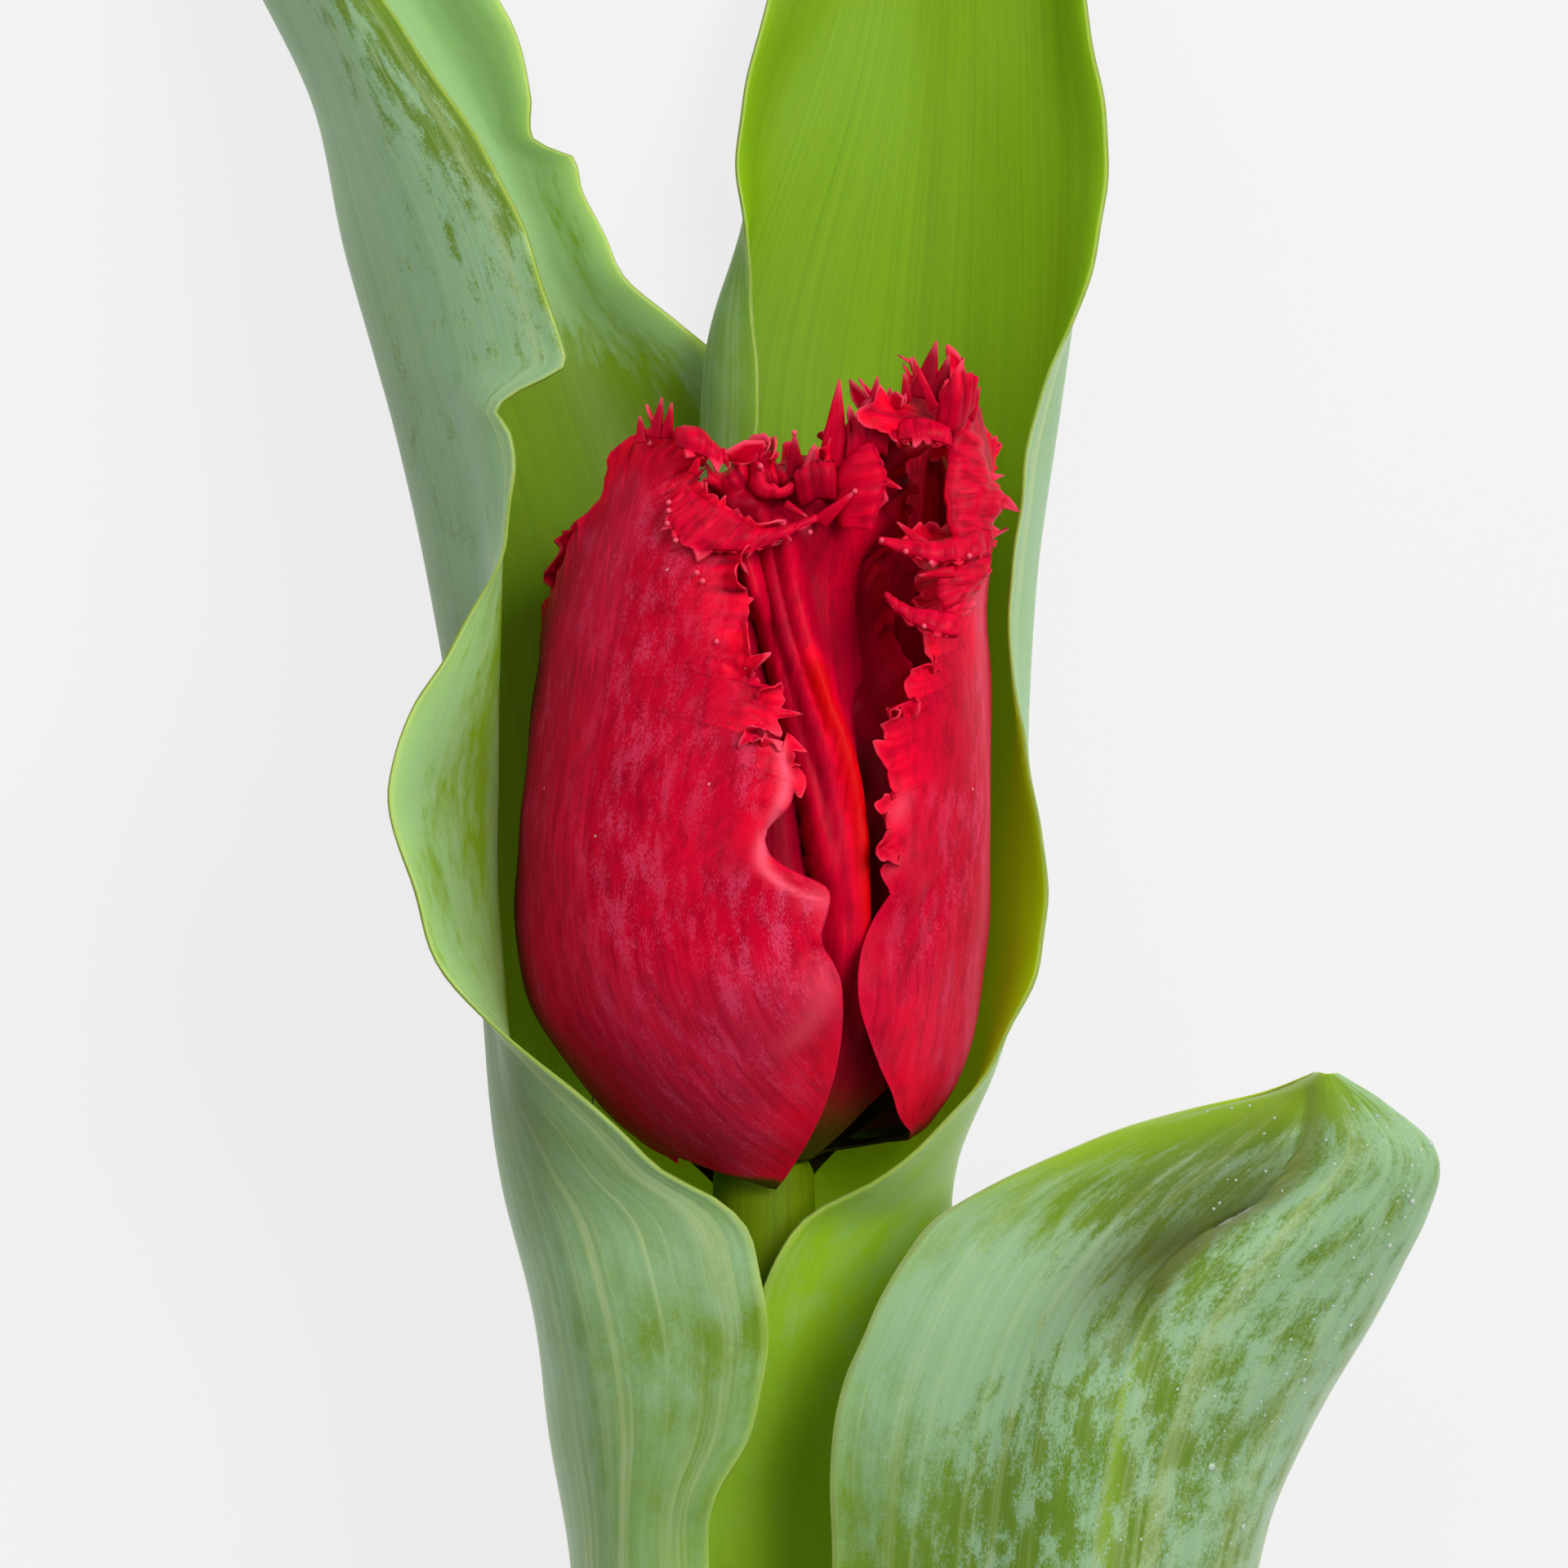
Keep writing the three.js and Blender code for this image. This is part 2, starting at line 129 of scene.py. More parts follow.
def swells(u, v, size, seed, count=9):
    """Smooth noise of about unit size over a surface: a sum of plane waves that run in seeded
    directions."""
    random = np.random.default_rng(seed)
    angles = random.uniform(0, 2 * np.pi, count)
    lengths = size * np.exp(0.3 * random.standard_normal(count))
    phases = random.uniform(0, 2 * np.pi, count)
    along = u[..., None] * np.cos(angles) + v[..., None] * np.sin(angles)
    return np.sin(2 * np.pi * along / lengths + phases).sum(-1) * math.sqrt(2 / count)


def stem_axis(y):
    """x and z of the stem's axis at height y: straight where it meets the flower, then an S bend
    down to the surface, with a slight sideways drift."""
    t = np.clip(-np.asarray(y, float) / (STEM_LENGTH - STEM_STRAIGHT_END), 0, 1)
    return np.stack([STEM_DRIFT * t * t, -STEM_SAG * t * t * (3 - 2 * t)], -1)


def around(y, radius, degrees):
    """Points round the flower's axis: 0 degrees faces up, 90 degrees faces right."""
    y, radius, angle = np.broadcast_arrays(np.asarray(y, float), radius, np.radians(degrees))
    return np.stack([radius * np.sin(angle), y, radius * np.cos(angle)], -1)


# ------------------------------------------------------------------------------ meshes


def unit(vectors):
    """The vectors at length 1."""
    return vectors / np.maximum(np.linalg.norm(vectors, axis=-1, keepdims=True), 1e-9)


def grid_normals(grid):
    """Normals of a grid of points: the cross product of its differences across and along."""
    return unit(np.cross(np.gradient(grid, axis=1), np.gradient(grid, axis=0)))


def quads(ids):
    """Four-cornered faces over a grid of vertex numbers."""
    return np.stack([ids[:-1, :-1], ids[:-1, 1:], ids[1:, 1:], ids[1:, :-1]], -1).reshape(-1, 4)


def strip(first, second):
    """Four-cornered faces between two equally long lines of vertex numbers."""
    return np.stack([first[:-1], second[:-1], second[1:], first[1:]], -1)


def make_object(name, shell, materials, node=None):
    """A smooth mesh object at the origin, from a shell in millimetres: points, faces, material
    number of each face, and named values of the points. Pairs of values become UV maps, single
    values and triples become attributes."""
    points, faces, slots, layers = shell
    mesh = bpy.data.meshes.new(name)
    mesh.from_pydata((points * MM + FOOT).tolist(), [], faces)
    corners = np.empty(len(mesh.loops), np.int32)
    mesh.loops.foreach_get("vertex_index", corners)
    for key, values in layers.items():
        if values.ndim == 1:
            layer = mesh.attributes.new(key, "FLOAT", "POINT")
            layer.data.foreach_set("value", values.astype(np.float32))
        elif values.shape[1] == 2:
            uv = mesh.uv_layers.new(name=key)
            uv.data.foreach_set("uv", values[corners].astype(np.float32).reshape(-1))
        else:
            layer = mesh.attributes.new(key, "FLOAT_VECTOR", "POINT")
            layer.data.foreach_set("vector", values.astype(np.float32).reshape(-1))
    for material in materials:
        mesh.materials.append(material)
    mesh.polygons.foreach_set("material_index", np.asarray(slots, np.int32))
    mesh.polygons.foreach_set("use_smooth", np.ones(len(faces), bool))
    mesh.update()
    piece = bpy.data.objects.new(name, mesh)
    bpy.context.scene.collection.objects.link(piece)
    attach(piece, "root")
    if node:
        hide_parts(node)
    return piece


def joined(shells):
    """Several shells with the same layers as one."""
    starts = np.cumsum([0] + [len(shell[0]) for shell in shells]).tolist()
    faces = [[corner + start for corner in face]
             for shell, start in zip(shells, starts) for face in shell[1]]
    layers = {key: np.concatenate([shell[3][key] for shell in shells]) for key in shells[0][3]}
    return (np.concatenate([shell[0] for shell in shells]), faces,
            np.concatenate([shell[2] for shell in shells]), layers)


def blade(grid, thickness, layers, sewn=False):
    """A thin closed shell over a grid of points. Its two faces lie half the thickness either
    side of the grid, and a rim joins them. A sewn grid is one whose rows run out from a middle
    line and back along its other side, so its first column is joined to itself.
    Material numbers: 0 front face, 1 back face, 2 rim."""
    rows, columns = grid.shape[:2]
    count = rows * columns
    ids = np.arange(count).reshape(rows, columns)
    normals = grid_normals(grid)
    if sewn:
        ids[rows // 2 + 1:, 0] = ids[:rows // 2, 0][::-1]
        normals[:, 0] = unit(normals[:, 2] + normals[::-1, 2])
    lift = (0.5 * thickness)[..., None] * normals
    points = np.concatenate([(grid + lift).reshape(-1, 3), (grid - lift).reshape(-1, 3)])
    back = ids + count
    rims = [strip(ids[:, -1], back[:, -1]), strip(ids[0], back[0]), strip(back[-1], ids[-1])]
    if not sewn:
        rims.append(strip(back[:, 0], ids[:, 0]))
    parts = [quads(ids), quads(back)[:, ::-1], np.concatenate(rims)]
    faces = np.concatenate(parts)
    slots = np.repeat([0, 1, 2], [len(part) for part in parts])
    used, faces = np.unique(faces, return_inverse=True)
    layers = {key: np.concatenate([values.reshape(count, -1)] * 2)[used].squeeze()
              for key, values in layers.items()}
    return points[used], faces.reshape(-1, 4).tolist(), slots, layers


def swept(rings, layers, ends=(0, 0)):
    """A closed shell through rings of points, each with as many points as the others, with a
    flat face at either end. Its side has material number 0, and ends gives those of its ends."""
    rows, columns = rings.shape[:2]
    ids = np.arange(rows * columns).reshape(rows, columns)
    side = quads(np.concatenate([ids, ids[:, :1]], 1)).tolist()
    faces = side + [ids[0, ::-1].tolist(), ids[-1].tolist()]
    slots = [0] * len(side) + list(ends)
    flat = {key: values.reshape(rows * columns, -1).squeeze() for key, values in layers.items()}
    return rings.reshape(-1, 3), faces, slots, flat


# ------------------------------------------------------------------------------ shader parts

FINE_SHARE = 0.65  # share of the fine veins in the veins' height; the rest is finer ones
FINER_VEINS = (2.7, 1.6, 1.0)  # grain of the finer veins against the fine ones
VEIN_CONTRAST = 4.0
PATCH_EDGE = (0.45, 0.58)  # levels of noise between which a patch of bloom fades in
PATCH_BLUR = 0.44  # how far a Softness of 1 moves each of them
POWDER_GRAIN = 14.0  # grain of the powder against that of the patches


def node(tree, kind, inputs=None, **settings):
    """A new node; inputs maps socket names or numbers to values or to sockets to link."""
    made = tree.nodes.new(kind)
    for name, value in settings.items():
        setattr(made, name, value)
    for name, value in (inputs or {}).items():
        if isinstance(value, bpy.types.NodeSocket):
            tree.links.new(value, made.inputs[name])
        else:
            made.inputs[name].default_value = value
    return made


def rgba(colour):
    """A colour with full cover; a socket stays as it is."""
    return colour if isinstance(colour, bpy.types.NodeSocket) else (*colour[:3], 1.0)


def calculate(tree, operation, first, second=0.5, clamp=False):
    """The result of one Math node."""
    return node(tree, "ShaderNodeMath", {0: first, 1: second}, operation=operation,
                use_clamp=clamp).outputs[0]


def mix(tree, factor, first, second):
    """Two colours mixed by a factor."""
    return node(tree, "ShaderNodeMix", {0: factor, 6: rgba(first), 7: rgba(second)},
                data_type="RGBA").outputs[2]


def blend(tree, factor, first, second):
    """Two values mixed by a factor."""
    return node(tree, "ShaderNodeMix", {0: factor, 2: first, 3: second}).outputs[0]


def remap(tree, value, low, high, new_low=0.0, new_high=1.0):
    """A value taken from one range to another and kept inside it."""
    return node(tree, "ShaderNodeMapRange", {
        "Value": value, "From Min": low, "From Max": high, "To Min": new_low, "To Max": new_high,
    }).outputs[0]


def scaled(tree, vector, scale):
    """A vector with its parts multiplied by those of another."""
    return node(tree, "ShaderNodeVectorMath", {0: vector, 1: scale}, operation="MULTIPLY").outputs[0]


def grain_of(tree, across, along):
    """A scale made of two sockets, for use over a blade."""
    return node(tree, "ShaderNodeCombineXYZ", {0: across, 1: along, 2: across}).outputs[0]


def noise_at(tree, vector, detail, roughness, **inputs):
    """Noise between 0 and 1."""
    inputs = {"Vector": vector, "Scale": 1.0, "Detail": detail, "Roughness": roughness, **inputs}
    return node(tree, "ShaderNodeTexNoise", inputs).outputs["Fac"]


def stretched_noise(tree, vector, across, along, detail=4.0):
    """Noise of the given grain across and along the first two coordinates."""
    return noise_at(tree, scaled(tree, vector, (across, along, 1.0)), detail, 0.6)


def new_group(name, inputs, outputs):
    """An empty node group with float inputs and outputs, and its two end nodes. inputs maps
    names to defaults, and a None default makes a vector input."""
    group = bpy.data.node_groups.new(name, "ShaderNodeTree")
    for label, default in inputs.items():
        kind = "NodeSocketVector" if default is None else "NodeSocketFloat"
        socket = group.interface.new_socket(name=label, in_out="INPUT", socket_type=kind)
        if default is not None:
            socket.default_value = default
    for label in outputs:
        group.interface.new_socket(name=label, in_out="OUTPUT", socket_type="NodeSocketFloat")
    return group, group.nodes.new("NodeGroupInput").outputs, group.nodes.new("NodeGroupOutput").inputs


def vein_group():
    """Veins that run along a blade: Lines between 0 and 1 whose grain is Across and Along, and
    their Height for bumps. The height is the sum of fine and finer noise, by their shares, and
    the lines are its distance from the middle times Contrast and a fixed contrast."""
    group, given, put = new_group(
        "Blade veins", {"Vector": None, "Across": 2.0, "Along": 0.03, "Contrast": 1.0},
        ["Lines", "Height"])
    stretched = scaled(group, given["Vector"], grain_of(group, given["Across"], given["Along"]))
    fine = noise_at(group, stretched, 6.0, 0.7, Distortion=0.1)
    finer = noise_at(group, scaled(group, stretched, FINER_VEINS), 3.0, 0.6)
    both = calculate(group, "ADD", calculate(group, "MULTIPLY", fine, FINE_SHARE),
                     calculate(group, "MULTIPLY", finer, 1 - FINE_SHARE))
    centred = calculate(group, "SUBTRACT", both, 0.5)
    spread = calculate(group, "MULTIPLY", centred, given["Contrast"])
    lines = node(group, "ShaderNodeMath", {0: spread, 1: VEIN_CONTRAST, 2: 0.5},
                 operation="MULTIPLY_ADD", use_clamp=True).outputs[0]
    group.links.new(lines, put["Lines"])
    group.links.new(both, put["Height"])
    return group


def bloom_group():
    """The powdery bloom on a plant's skin: large patches, drawn out along the blade by Stretch,
    broken up by a fine powder. Amount moves the share that is covered, and Softness blurs the
    patches until the cover is nearly even."""
    group, given, put = new_group(
        "Waxy bloom", {"Vector": None, "Size": 0.1, "Stretch": 0.4, "Amount": 0.5, "Powder": 0.5,
                       "Softness": 0.0}, ["Cover"])
    along = calculate(group, "MULTIPLY", given["Size"], given["Stretch"])
    stretched = scaled(group, given["Vector"], grain_of(group, given["Size"], along))
    patches = noise_at(group, stretched, 5.0, 0.65)
    powder = noise_at(group, stretched, 3.0, 0.7, Scale=POWDER_GRAIN)
    grain = calculate(group, "MULTIPLY", calculate(group, "SUBTRACT", powder, 0.5), given["Powder"])
    level = calculate(group, "ADD", calculate(group, "ADD", patches, grain),
                      calculate(group, "SUBTRACT", given["Amount"], 0.5))
    blur = calculate(group, "MULTIPLY", given["Softness"], PATCH_BLUR)
    low = calculate(group, "SUBTRACT", PATCH_EDGE[0], blur)
    high = calculate(group, "ADD", PATCH_EDGE[1], blur)
    group.links.new(remap(group, level, low, high), put["Cover"])
    return group


def speck_group():
    """Small round specks, one in a Share of the cells: a mask of 1 inside a speck."""
    group, given, put = new_group(
        "Pale specks", {"Vector": None, "Scale": 1.0, "Radius": 0.12, "Share": 0.3}, ["Mask"])
    cells = node(group, "ShaderNodeTexVoronoi", {"Vector": given["Vector"], "Scale": given["Scale"],
                                                "Randomness": 1.0})
    near = calculate(group, "LESS_THAN", cells.outputs["Distance"], given["Radius"])
    parts = node(group, "ShaderNodeSeparateColor", {0: cells.outputs["Color"]})
    chosen = calculate(group, "LESS_THAN", parts.outputs[0], given["Share"])
    group.links.new(calculate(group, "MULTIPLY", near, chosen), put["Mask"])
    return group


def use_group(tree, name, build, **inputs):
    """The outputs of a node group, which is built where it is first used."""
    group = bpy.data.node_groups.get(name) or build()
    return node(tree, "ShaderNodeGroup", inputs, node_tree=group).outputs


def veins(tree, vector, **inputs):
    """The lines and the height of veins along a blade."""
    return use_group(tree, "Blade veins", vein_group, Vector=vector, **inputs)


def bloom(tree, vector, **inputs):
    """The cover of a powdery bloom."""
    return use_group(tree, "Waxy bloom", bloom_group, Vector=vector, **inputs)["Cover"]


def specks(tree, vector, **inputs):
    """A mask of small specks."""
    return use_group(tree, "Pale specks", speck_group, Vector=vector, **inputs)["Mask"]


def new_material(name, **shader_inputs):
    """A material, its node tree and its Principled shader. An underscore in the name of an
    input stands for a space."""
    material = bpy.data.materials.new(name)
    material.use_nodes = True
    tree = material.node_tree
    shader = tree.nodes["Principled BSDF"]
    for label, value in shader_inputs.items():
        shader.inputs[label.replace("_", " ")].default_value = value
    return material, tree, shader


def blade_vector(tree, layer="blade"):
    """Coordinates across and along a blade or, in the layer "fan", across and along its side
    veins, in millimetres."""
    return node(tree, "ShaderNodeUVMap", uv_map=layer).outputs[0]


def object_vector(tree):
    """The place in the object, in millimetres."""
    return scaled(tree, tree.nodes.new("ShaderNodeTexCoord").outputs["Object"], (1 / MM,) * 3)


def attribute(tree, name, output="Fac"):
    """A named value of the vertices."""
    return node(tree, "ShaderNodeAttribute", attribute_name=name).outputs[output]


def paint(tree, shader, colour, height=None, strength=0.0, depth=0.0):
    """Give a shader its colour and, from a height between 0 and 1, a bump whose depth is in
    millimetres."""
    tree.links.new(colour, shader.inputs["Base Color"])
    if height:
        bump = node(tree, "ShaderNodeBump", {"Height": height, "Strength": strength,
                                             "Distance": depth * MM})
        tree.links.new(bump.outputs[0], shader.inputs["Normal"])


# ------------------------------------------------------------------------------ materials

WHITE = (1.0, 1.0, 1.0, 1.0)
RED_GLOW = (1.0, 0.1, 0.1)  # how far red, green and blue light spread inside a tepal
GREEN_GLOW = (1.0, 1.0, 0.1)  # and inside a leaf
SPECK_COLOUR = (0.8, 0.45, 0.35)
PITH_COLOURS = (0.52, 0.58, 0.26), (0.38, 0.46, 0.16)
STRAND_COLOUR = (0.22, 0.30, 0.08)
ANTHER_COLOURS = (0.018, 0.008, 0.022), (0.075, 0.035, 0.085)
POLLEN_COLOUR = (0.42, 0.28, 0.10)
FILAMENT_COLOURS = (0.10, 0.012, 0.03), (0.20, 0.05, 0.07)
OVARY_COLOURS = (0.33, 0.42, 0.13), (0.48, 0.55, 0.24)
STIGMA_COLOUR = (0.66, 0.58, 0.30)
WATER_COLOUR = (0.72, 0.8, 0.7)
FLOOR_SHADE = 0.985  # brightness of the floor's darker patches against the rest


def tepal_ends(tree, flower, red, edge_share):
    """A tepal's red with its brighter edge, the pale tips of its fringe and the painted pink
    highlights in their colour, and its olive claw.
    """
    edge = calculate(tree, "MULTIPLY", attribute(tree, "edge"), edge_share)
    red = mix(tree, edge, red, flower.edge_colour)
    # tip also holds the pale bands: painted pink highlights.
    red = mix(tree, attribute(tree, "tip"), red, flower.fringe_and_highlight_colour)
    return mix(tree, attribute(tree, "claw"), red, flower.claw_colour)


def tepal_outer_face(flower):
    """The outside of a tepal: crimson with fine veins that fan out to the margins, a brighter
    flush or, where flush_and_shade is negative, painted shade, a dusty bloom that is partly
    painted sheen on the flanks, and paler tips to the fringe with painted pink highlights."""
    material, tree, shader = new_material(
        "tepal outside", Roughness=0.42, Subsurface_Weight=0.12, Subsurface_Scale=0.001,
        Subsurface_Radius=RED_GLOW, Specular_IOR_Level=0.04, Sheen_Weight=flower.sheen,
        Sheen_Roughness=0.4, Sheen_Tint=rgba(flower.bloom_and_sheen_colour))
    across = blade_vector(tree)
    straight = veins(tree, across, Across=2.0, Along=0.06, Contrast=0.6)
    fanned = veins(tree, blade_vector(tree, "fan"), Across=1.9, Along=0.2, Contrast=0.4)
    spread = attribute(tree, "spread")
    lines = blend(tree, spread, straight["Lines"], fanned["Lines"])
    height = blend(tree, spread, straight["Height"], fanned["Height"])
    red = mix(tree, lines, flower.deep_colour, flower.outer_colour)
    broad = stretched_noise(tree, across, 0.22, 0.06)
    red = mix(tree, remap(tree, broad, 0.42, 0.68, 0.0, 0.5), red, flower.bright_colour)
    flush_and_shade = attribute(tree, "flush_and_shade")
    # Painted shade: a negative flush_and_shade turns the red to shade_and_mottle_colour.
    painted_shade = calculate(tree, "MULTIPLY", flush_and_shade, -1.0, clamp=True)
    red = mix(tree, painted_shade, red, flower.shade_and_mottle_colour)
    red = mix(tree, remap(tree, flush_and_shade, 0.0, 1.0), red, flower.flush_colour)
    mottle = stretched_noise(tree, across, 1.1, 0.4)
    red = mix(tree, remap(tree, mottle, 0.38, 0.52, 0.3, 0.0), red, flower.shade_and_mottle_colour)
    red = mix(tree, remap(tree, flush_and_shade, 1.0, 2.0), red, flower.scarlet_colour)
    # The dust bands are dusty bloom and, on the flanks, painted sheen.
    dust_and_sheen = bloom(tree, across, Size=0.7, Stretch=0.35, Amount=0.45, Powder=0.8)
    streaks = calculate(tree, "SUBTRACT", calculate(tree, "MULTIPLY", lines, 0.5), spread)
    dust_and_sheen = calculate(tree, "MAXIMUM", dust_and_sheen, streaks)
    dust_and_sheen = calculate(tree, "MULTIPLY", dust_and_sheen, attribute(tree, "dust"), clamp=True)
    red = tepal_ends(tree, flower, mix(tree, dust_and_sheen, red, flower.bloom_and_sheen_colour), 0.25)
    pale = specks(tree, across, Scale=0.45, Radius=0.05, Share=0.25)
    red = mix(tree, calculate(tree, "MULTIPLY", pale, 0.6), red, SPECK_COLOUR)
    paint(tree, shader, red, height, 0.35, 0.25)
    return material


def tepal_inner_face(flower):
    """The inside of a tepal: scarlet satin with fine veins, and painted shade where flush_and_shade is
    negative.
    """
    material, tree, shader = new_material(
        "tepal inside", Roughness=0.38, Subsurface_Weight=0.15, Subsurface_Scale=0.001,
        Subsurface_Radius=RED_GLOW, Specular_IOR_Level=0.05)
    across = blade_vector(tree)
    lines = veins(tree, across, Across=1.6, Along=0.1, Contrast=0.7)
    red = mix(tree, lines["Lines"], flower.inner_deep_colour, flower.inner_colour)
    # Painted shade: a negative flush_and_shade turns the red to shade_and_mottle_colour.
    painted_shade = calculate(tree, "MULTIPLY", attribute(tree, "flush_and_shade"), -1.0, clamp=True)
    red = mix(tree, painted_shade, red, flower.shade_and_mottle_colour)
    mottle = stretched_noise(tree, across, 1.0, 0.7)
    red = mix(tree, remap(tree, mottle, 0.36, 0.54, 0.5, 0.0), red, flower.shade_and_mottle_colour)
    paint(tree, shader, tepal_ends(tree, flower, red, 0.3), lines["Height"], 0.4, 0.25)
    return material


def leaf_ends(tree, leaf, green, lime_and_shade):
    """A leaf's green with painted shade where lime_and_shade is negative, and its pale edge, which
    also takes a fold's painted crest highlight.
    """
    # Painted shade: a negative lime_and_shade turns the green to painted_shade_colour.
    green = mix(tree, remap(tree, lime_and_shade, 0.0, -1.0), green, leaf.painted_shade_colour)
    edge = calculate(tree, "MULTIPLY", attribute(tree, "edge"), 0.6)
    return mix(tree, edge, green, leaf.margin_colour)


def leaf_outer_face(leaf):
    """The outside of a leaf: blue-green wax over green, rubbed off in brushed patches or, where
    smear is high, laid on evenly, with raised veins that show through it."""
    material, tree, shader = new_material(
        "leaf outside", Roughness=0.5, Subsurface_Weight=leaf.translucency,
        Subsurface_Scale=leaf.glow_depth, Subsurface_Radius=GREEN_GLOW, Specular_IOR_Level=0.2,
        Sheen_Weight=leaf.sheen, Sheen_Roughness=0.4)
    across = blade_vector(tree)
    lines = veins(tree, across, Across=1.3, Along=0.02, Contrast=0.5)
    bare = mix(tree, lines["Lines"], leaf.rubbed_colour, leaf.green_colour)
    lime_and_shade = attribute(tree, "lime_and_shade")
    bare = mix(tree, remap(tree, lime_and_shade, 0.0, 1.0), bare, leaf.lime_colour)
    wax = mix(tree, lines["Lines"], leaf.wax_colour, leaf.pale_wax_colour)
    smear = attribute(tree, "smear")
    brushed = bloom(tree, across, Size=0.55, Stretch=0.45, Amount=attribute(tree, "wax"),
                    Powder=0.5, Softness=smear)
    broad = stretched_noise(tree, across, 0.06, 0.03)
    cover = calculate(tree, "MULTIPLY", brushed, remap(tree, broad, 0.3, 0.6, 0.8, 1.0))
    green = mix(tree, remap(tree, cover, 0.0, 1.0, 0.03, 0.93), bare, wax)
    ribs = veins(tree, across, Across=0.42, Along=0.006, Contrast=1.3)["Lines"]
    ribs = calculate(tree, "MULTIPLY", remap(tree, ribs, 0.55, 0.95, 0.0, 0.38),
                     remap(tree, smear, 0.3, 0.9, 1.0, 1.9))
    ribs = calculate(tree, "MULTIPLY", ribs, remap(tree, lime_and_shade, 0.0, 1.0, 1.0, 0.0))
    green = leaf_ends(tree, leaf, mix(tree, ribs, green, leaf.vein_colour), lime_and_shade)
    tree.links.new(remap(tree, cover, 0.0, 1.0, 0.38, 0.6), shader.inputs["Roughness"])
    paint(tree, shader, green, lines["Height"], 0.3, 0.25)
    return material


def leaf_inner_face(leaf):
    """The inside of a leaf: yellow-green with fine pale veins, some wax near the tip, and a painted
    glow for light that shines through it.
    """
    material, tree, shader = new_material(
        "leaf inside", Roughness=0.45, Subsurface_Weight=leaf.translucency,
        Subsurface_Scale=leaf.glow_depth, Subsurface_Radius=GREEN_GLOW, Specular_IOR_Level=0.1,
        Emission_Strength=leaf.painted_glow)
    across = blade_vector(tree)
    lines = veins(tree, across, Across=1.8, Along=0.012, Contrast=0.85)
    green = mix(tree, lines["Lines"], leaf.inner_colour, leaf.inner_pale_colour)
    wax = bloom(tree, across, Size=0.1, Stretch=0.3, Amount=attribute(tree, "inner_wax"), Powder=0.3)
    green = mix(tree, calculate(tree, "MULTIPLY", wax, 0.92), green, leaf.inner_wax_colour)
    broad = stretched_noise(tree, across, 0.12, 0.02)
    green = mix(tree, remap(tree, broad, 0.45, 0.7, 0.0, 0.35), green, leaf.rubbed_colour)
    lime_and_shade = attribute(tree, "lime_and_shade")
    green = mix(tree, remap(tree, lime_and_shade, 0.0, 1.0), green, leaf.lime_colour)
    green = leaf_ends(tree, leaf, green, lime_and_shade)
    # Painted light: the inside gives off its own green, standing for light that shines through.
    tree.links.new(green, shader.inputs["Emission Color"])
    paint(tree, shader, green, lines["Height"], 0.3, 0.2)
    return material


def leaf_rim(leaf):
    """The thin pale edge of a leaf."""
    material, tree, shader = new_material("leaf margin", Roughness=0.5, Specular_IOR_Level=0.2,
                                          Subsurface_Weight=0.2, Subsurface_Scale=0.001)
    noise = stretched_noise(tree, blade_vector(tree), 0.5, 0.5)
    paint(tree, shader, mix(tree, noise, leaf.margin_colour, leaf.green_colour))
    return material


def stem_skin(stem):
    """The stem's skin: olive green with fine lengthwise streaks and a little wax."""
    material, tree, shader = new_material("stem skin", Roughness=0.5, Subsurface_Weight=0.1,
                                          Subsurface_Scale=0.002, Specular_IOR_Level=0.08)
    across = attribute(tree, "round", "Vector")
    lines = veins(tree, across, Across=0.9, Along=0.02, Contrast=0.7)
    green = mix(tree, lines["Lines"], stem.skin_colour, stem.streak_colour)
    wax = bloom(tree, across, Size=0.1, Stretch=0.3, Amount=0.4, Powder=0.6)
    green = mix(tree, calculate(tree, "MULTIPLY", wax, 0.06), green, stem.wax_colour)
    paint(tree, shader, green, lines["Height"], 0.3, 0.2)
    return material


def stem_cut():
    """The cut end of the stem: pale wet pith with darker strands."""
    material, tree, shader = new_material("stem cut", Roughness=0.3, Subsurface_Weight=0.2,
                                          Subsurface_Scale=0.002)
    place = object_vector(tree)
    strands = specks(tree, place, Scale=1.1, Radius=0.28, Share=0.7)
    pith = mix(tree, stretched_noise(tree, place, 0.8, 0.8), *PITH_COLOURS)
    paint(tree, shader, mix(tree, strands, pith, STRAND_COLOUR), strands, 0.4, 0.15)
    return material


def anther_skin():
    """Dark violet anthers with a dust of pollen; the filament below is dull purple."""
    material, tree, shader = new_material("stamen skin", Roughness=0.75)
    place = object_vector(tree)
    grains = stretched_noise(tree, place, 4.0, 4.0, detail=3.0)
    violet = mix(tree, remap(tree, grains, 0.45, 0.65), *ANTHER_COLOURS)
    dust = specks(tree, place, Scale=3.2, Radius=0.2, Share=0.25)
    violet = mix(tree, dust, violet, POLLEN_COLOUR)
    filament = mix(tree, grains, *FILAMENT_COLOURS)
    paint(tree, shader, mix(tree, attribute(tree, "anther"), filament, violet), grains, 0.6, 0.2)
    return material


def pistil_skin():
    """Pale green ovary, yellowish downy stigma."""
    material, tree, shader = new_material("pistil skin", Roughness=0.55, Subsurface_Weight=0.15,
                                          Subsurface_Scale=0.002)
    grain = stretched_noise(tree, object_vector(tree), 2.5, 1.0)
    green = mix(tree, grain, *OVARY_COLOURS)
    paint(tree, shader, mix(tree, attribute(tree, "stigma"), green, STIGMA_COLOUR), grain, 0.4, 0.2)
    return material


def water():
    """Clear water."""
    return new_material("dew", Base_Color=rgba(WATER_COLOUR), Roughness=0.05, IOR=1.33,
                        Transmission_Weight=0.5)[0]


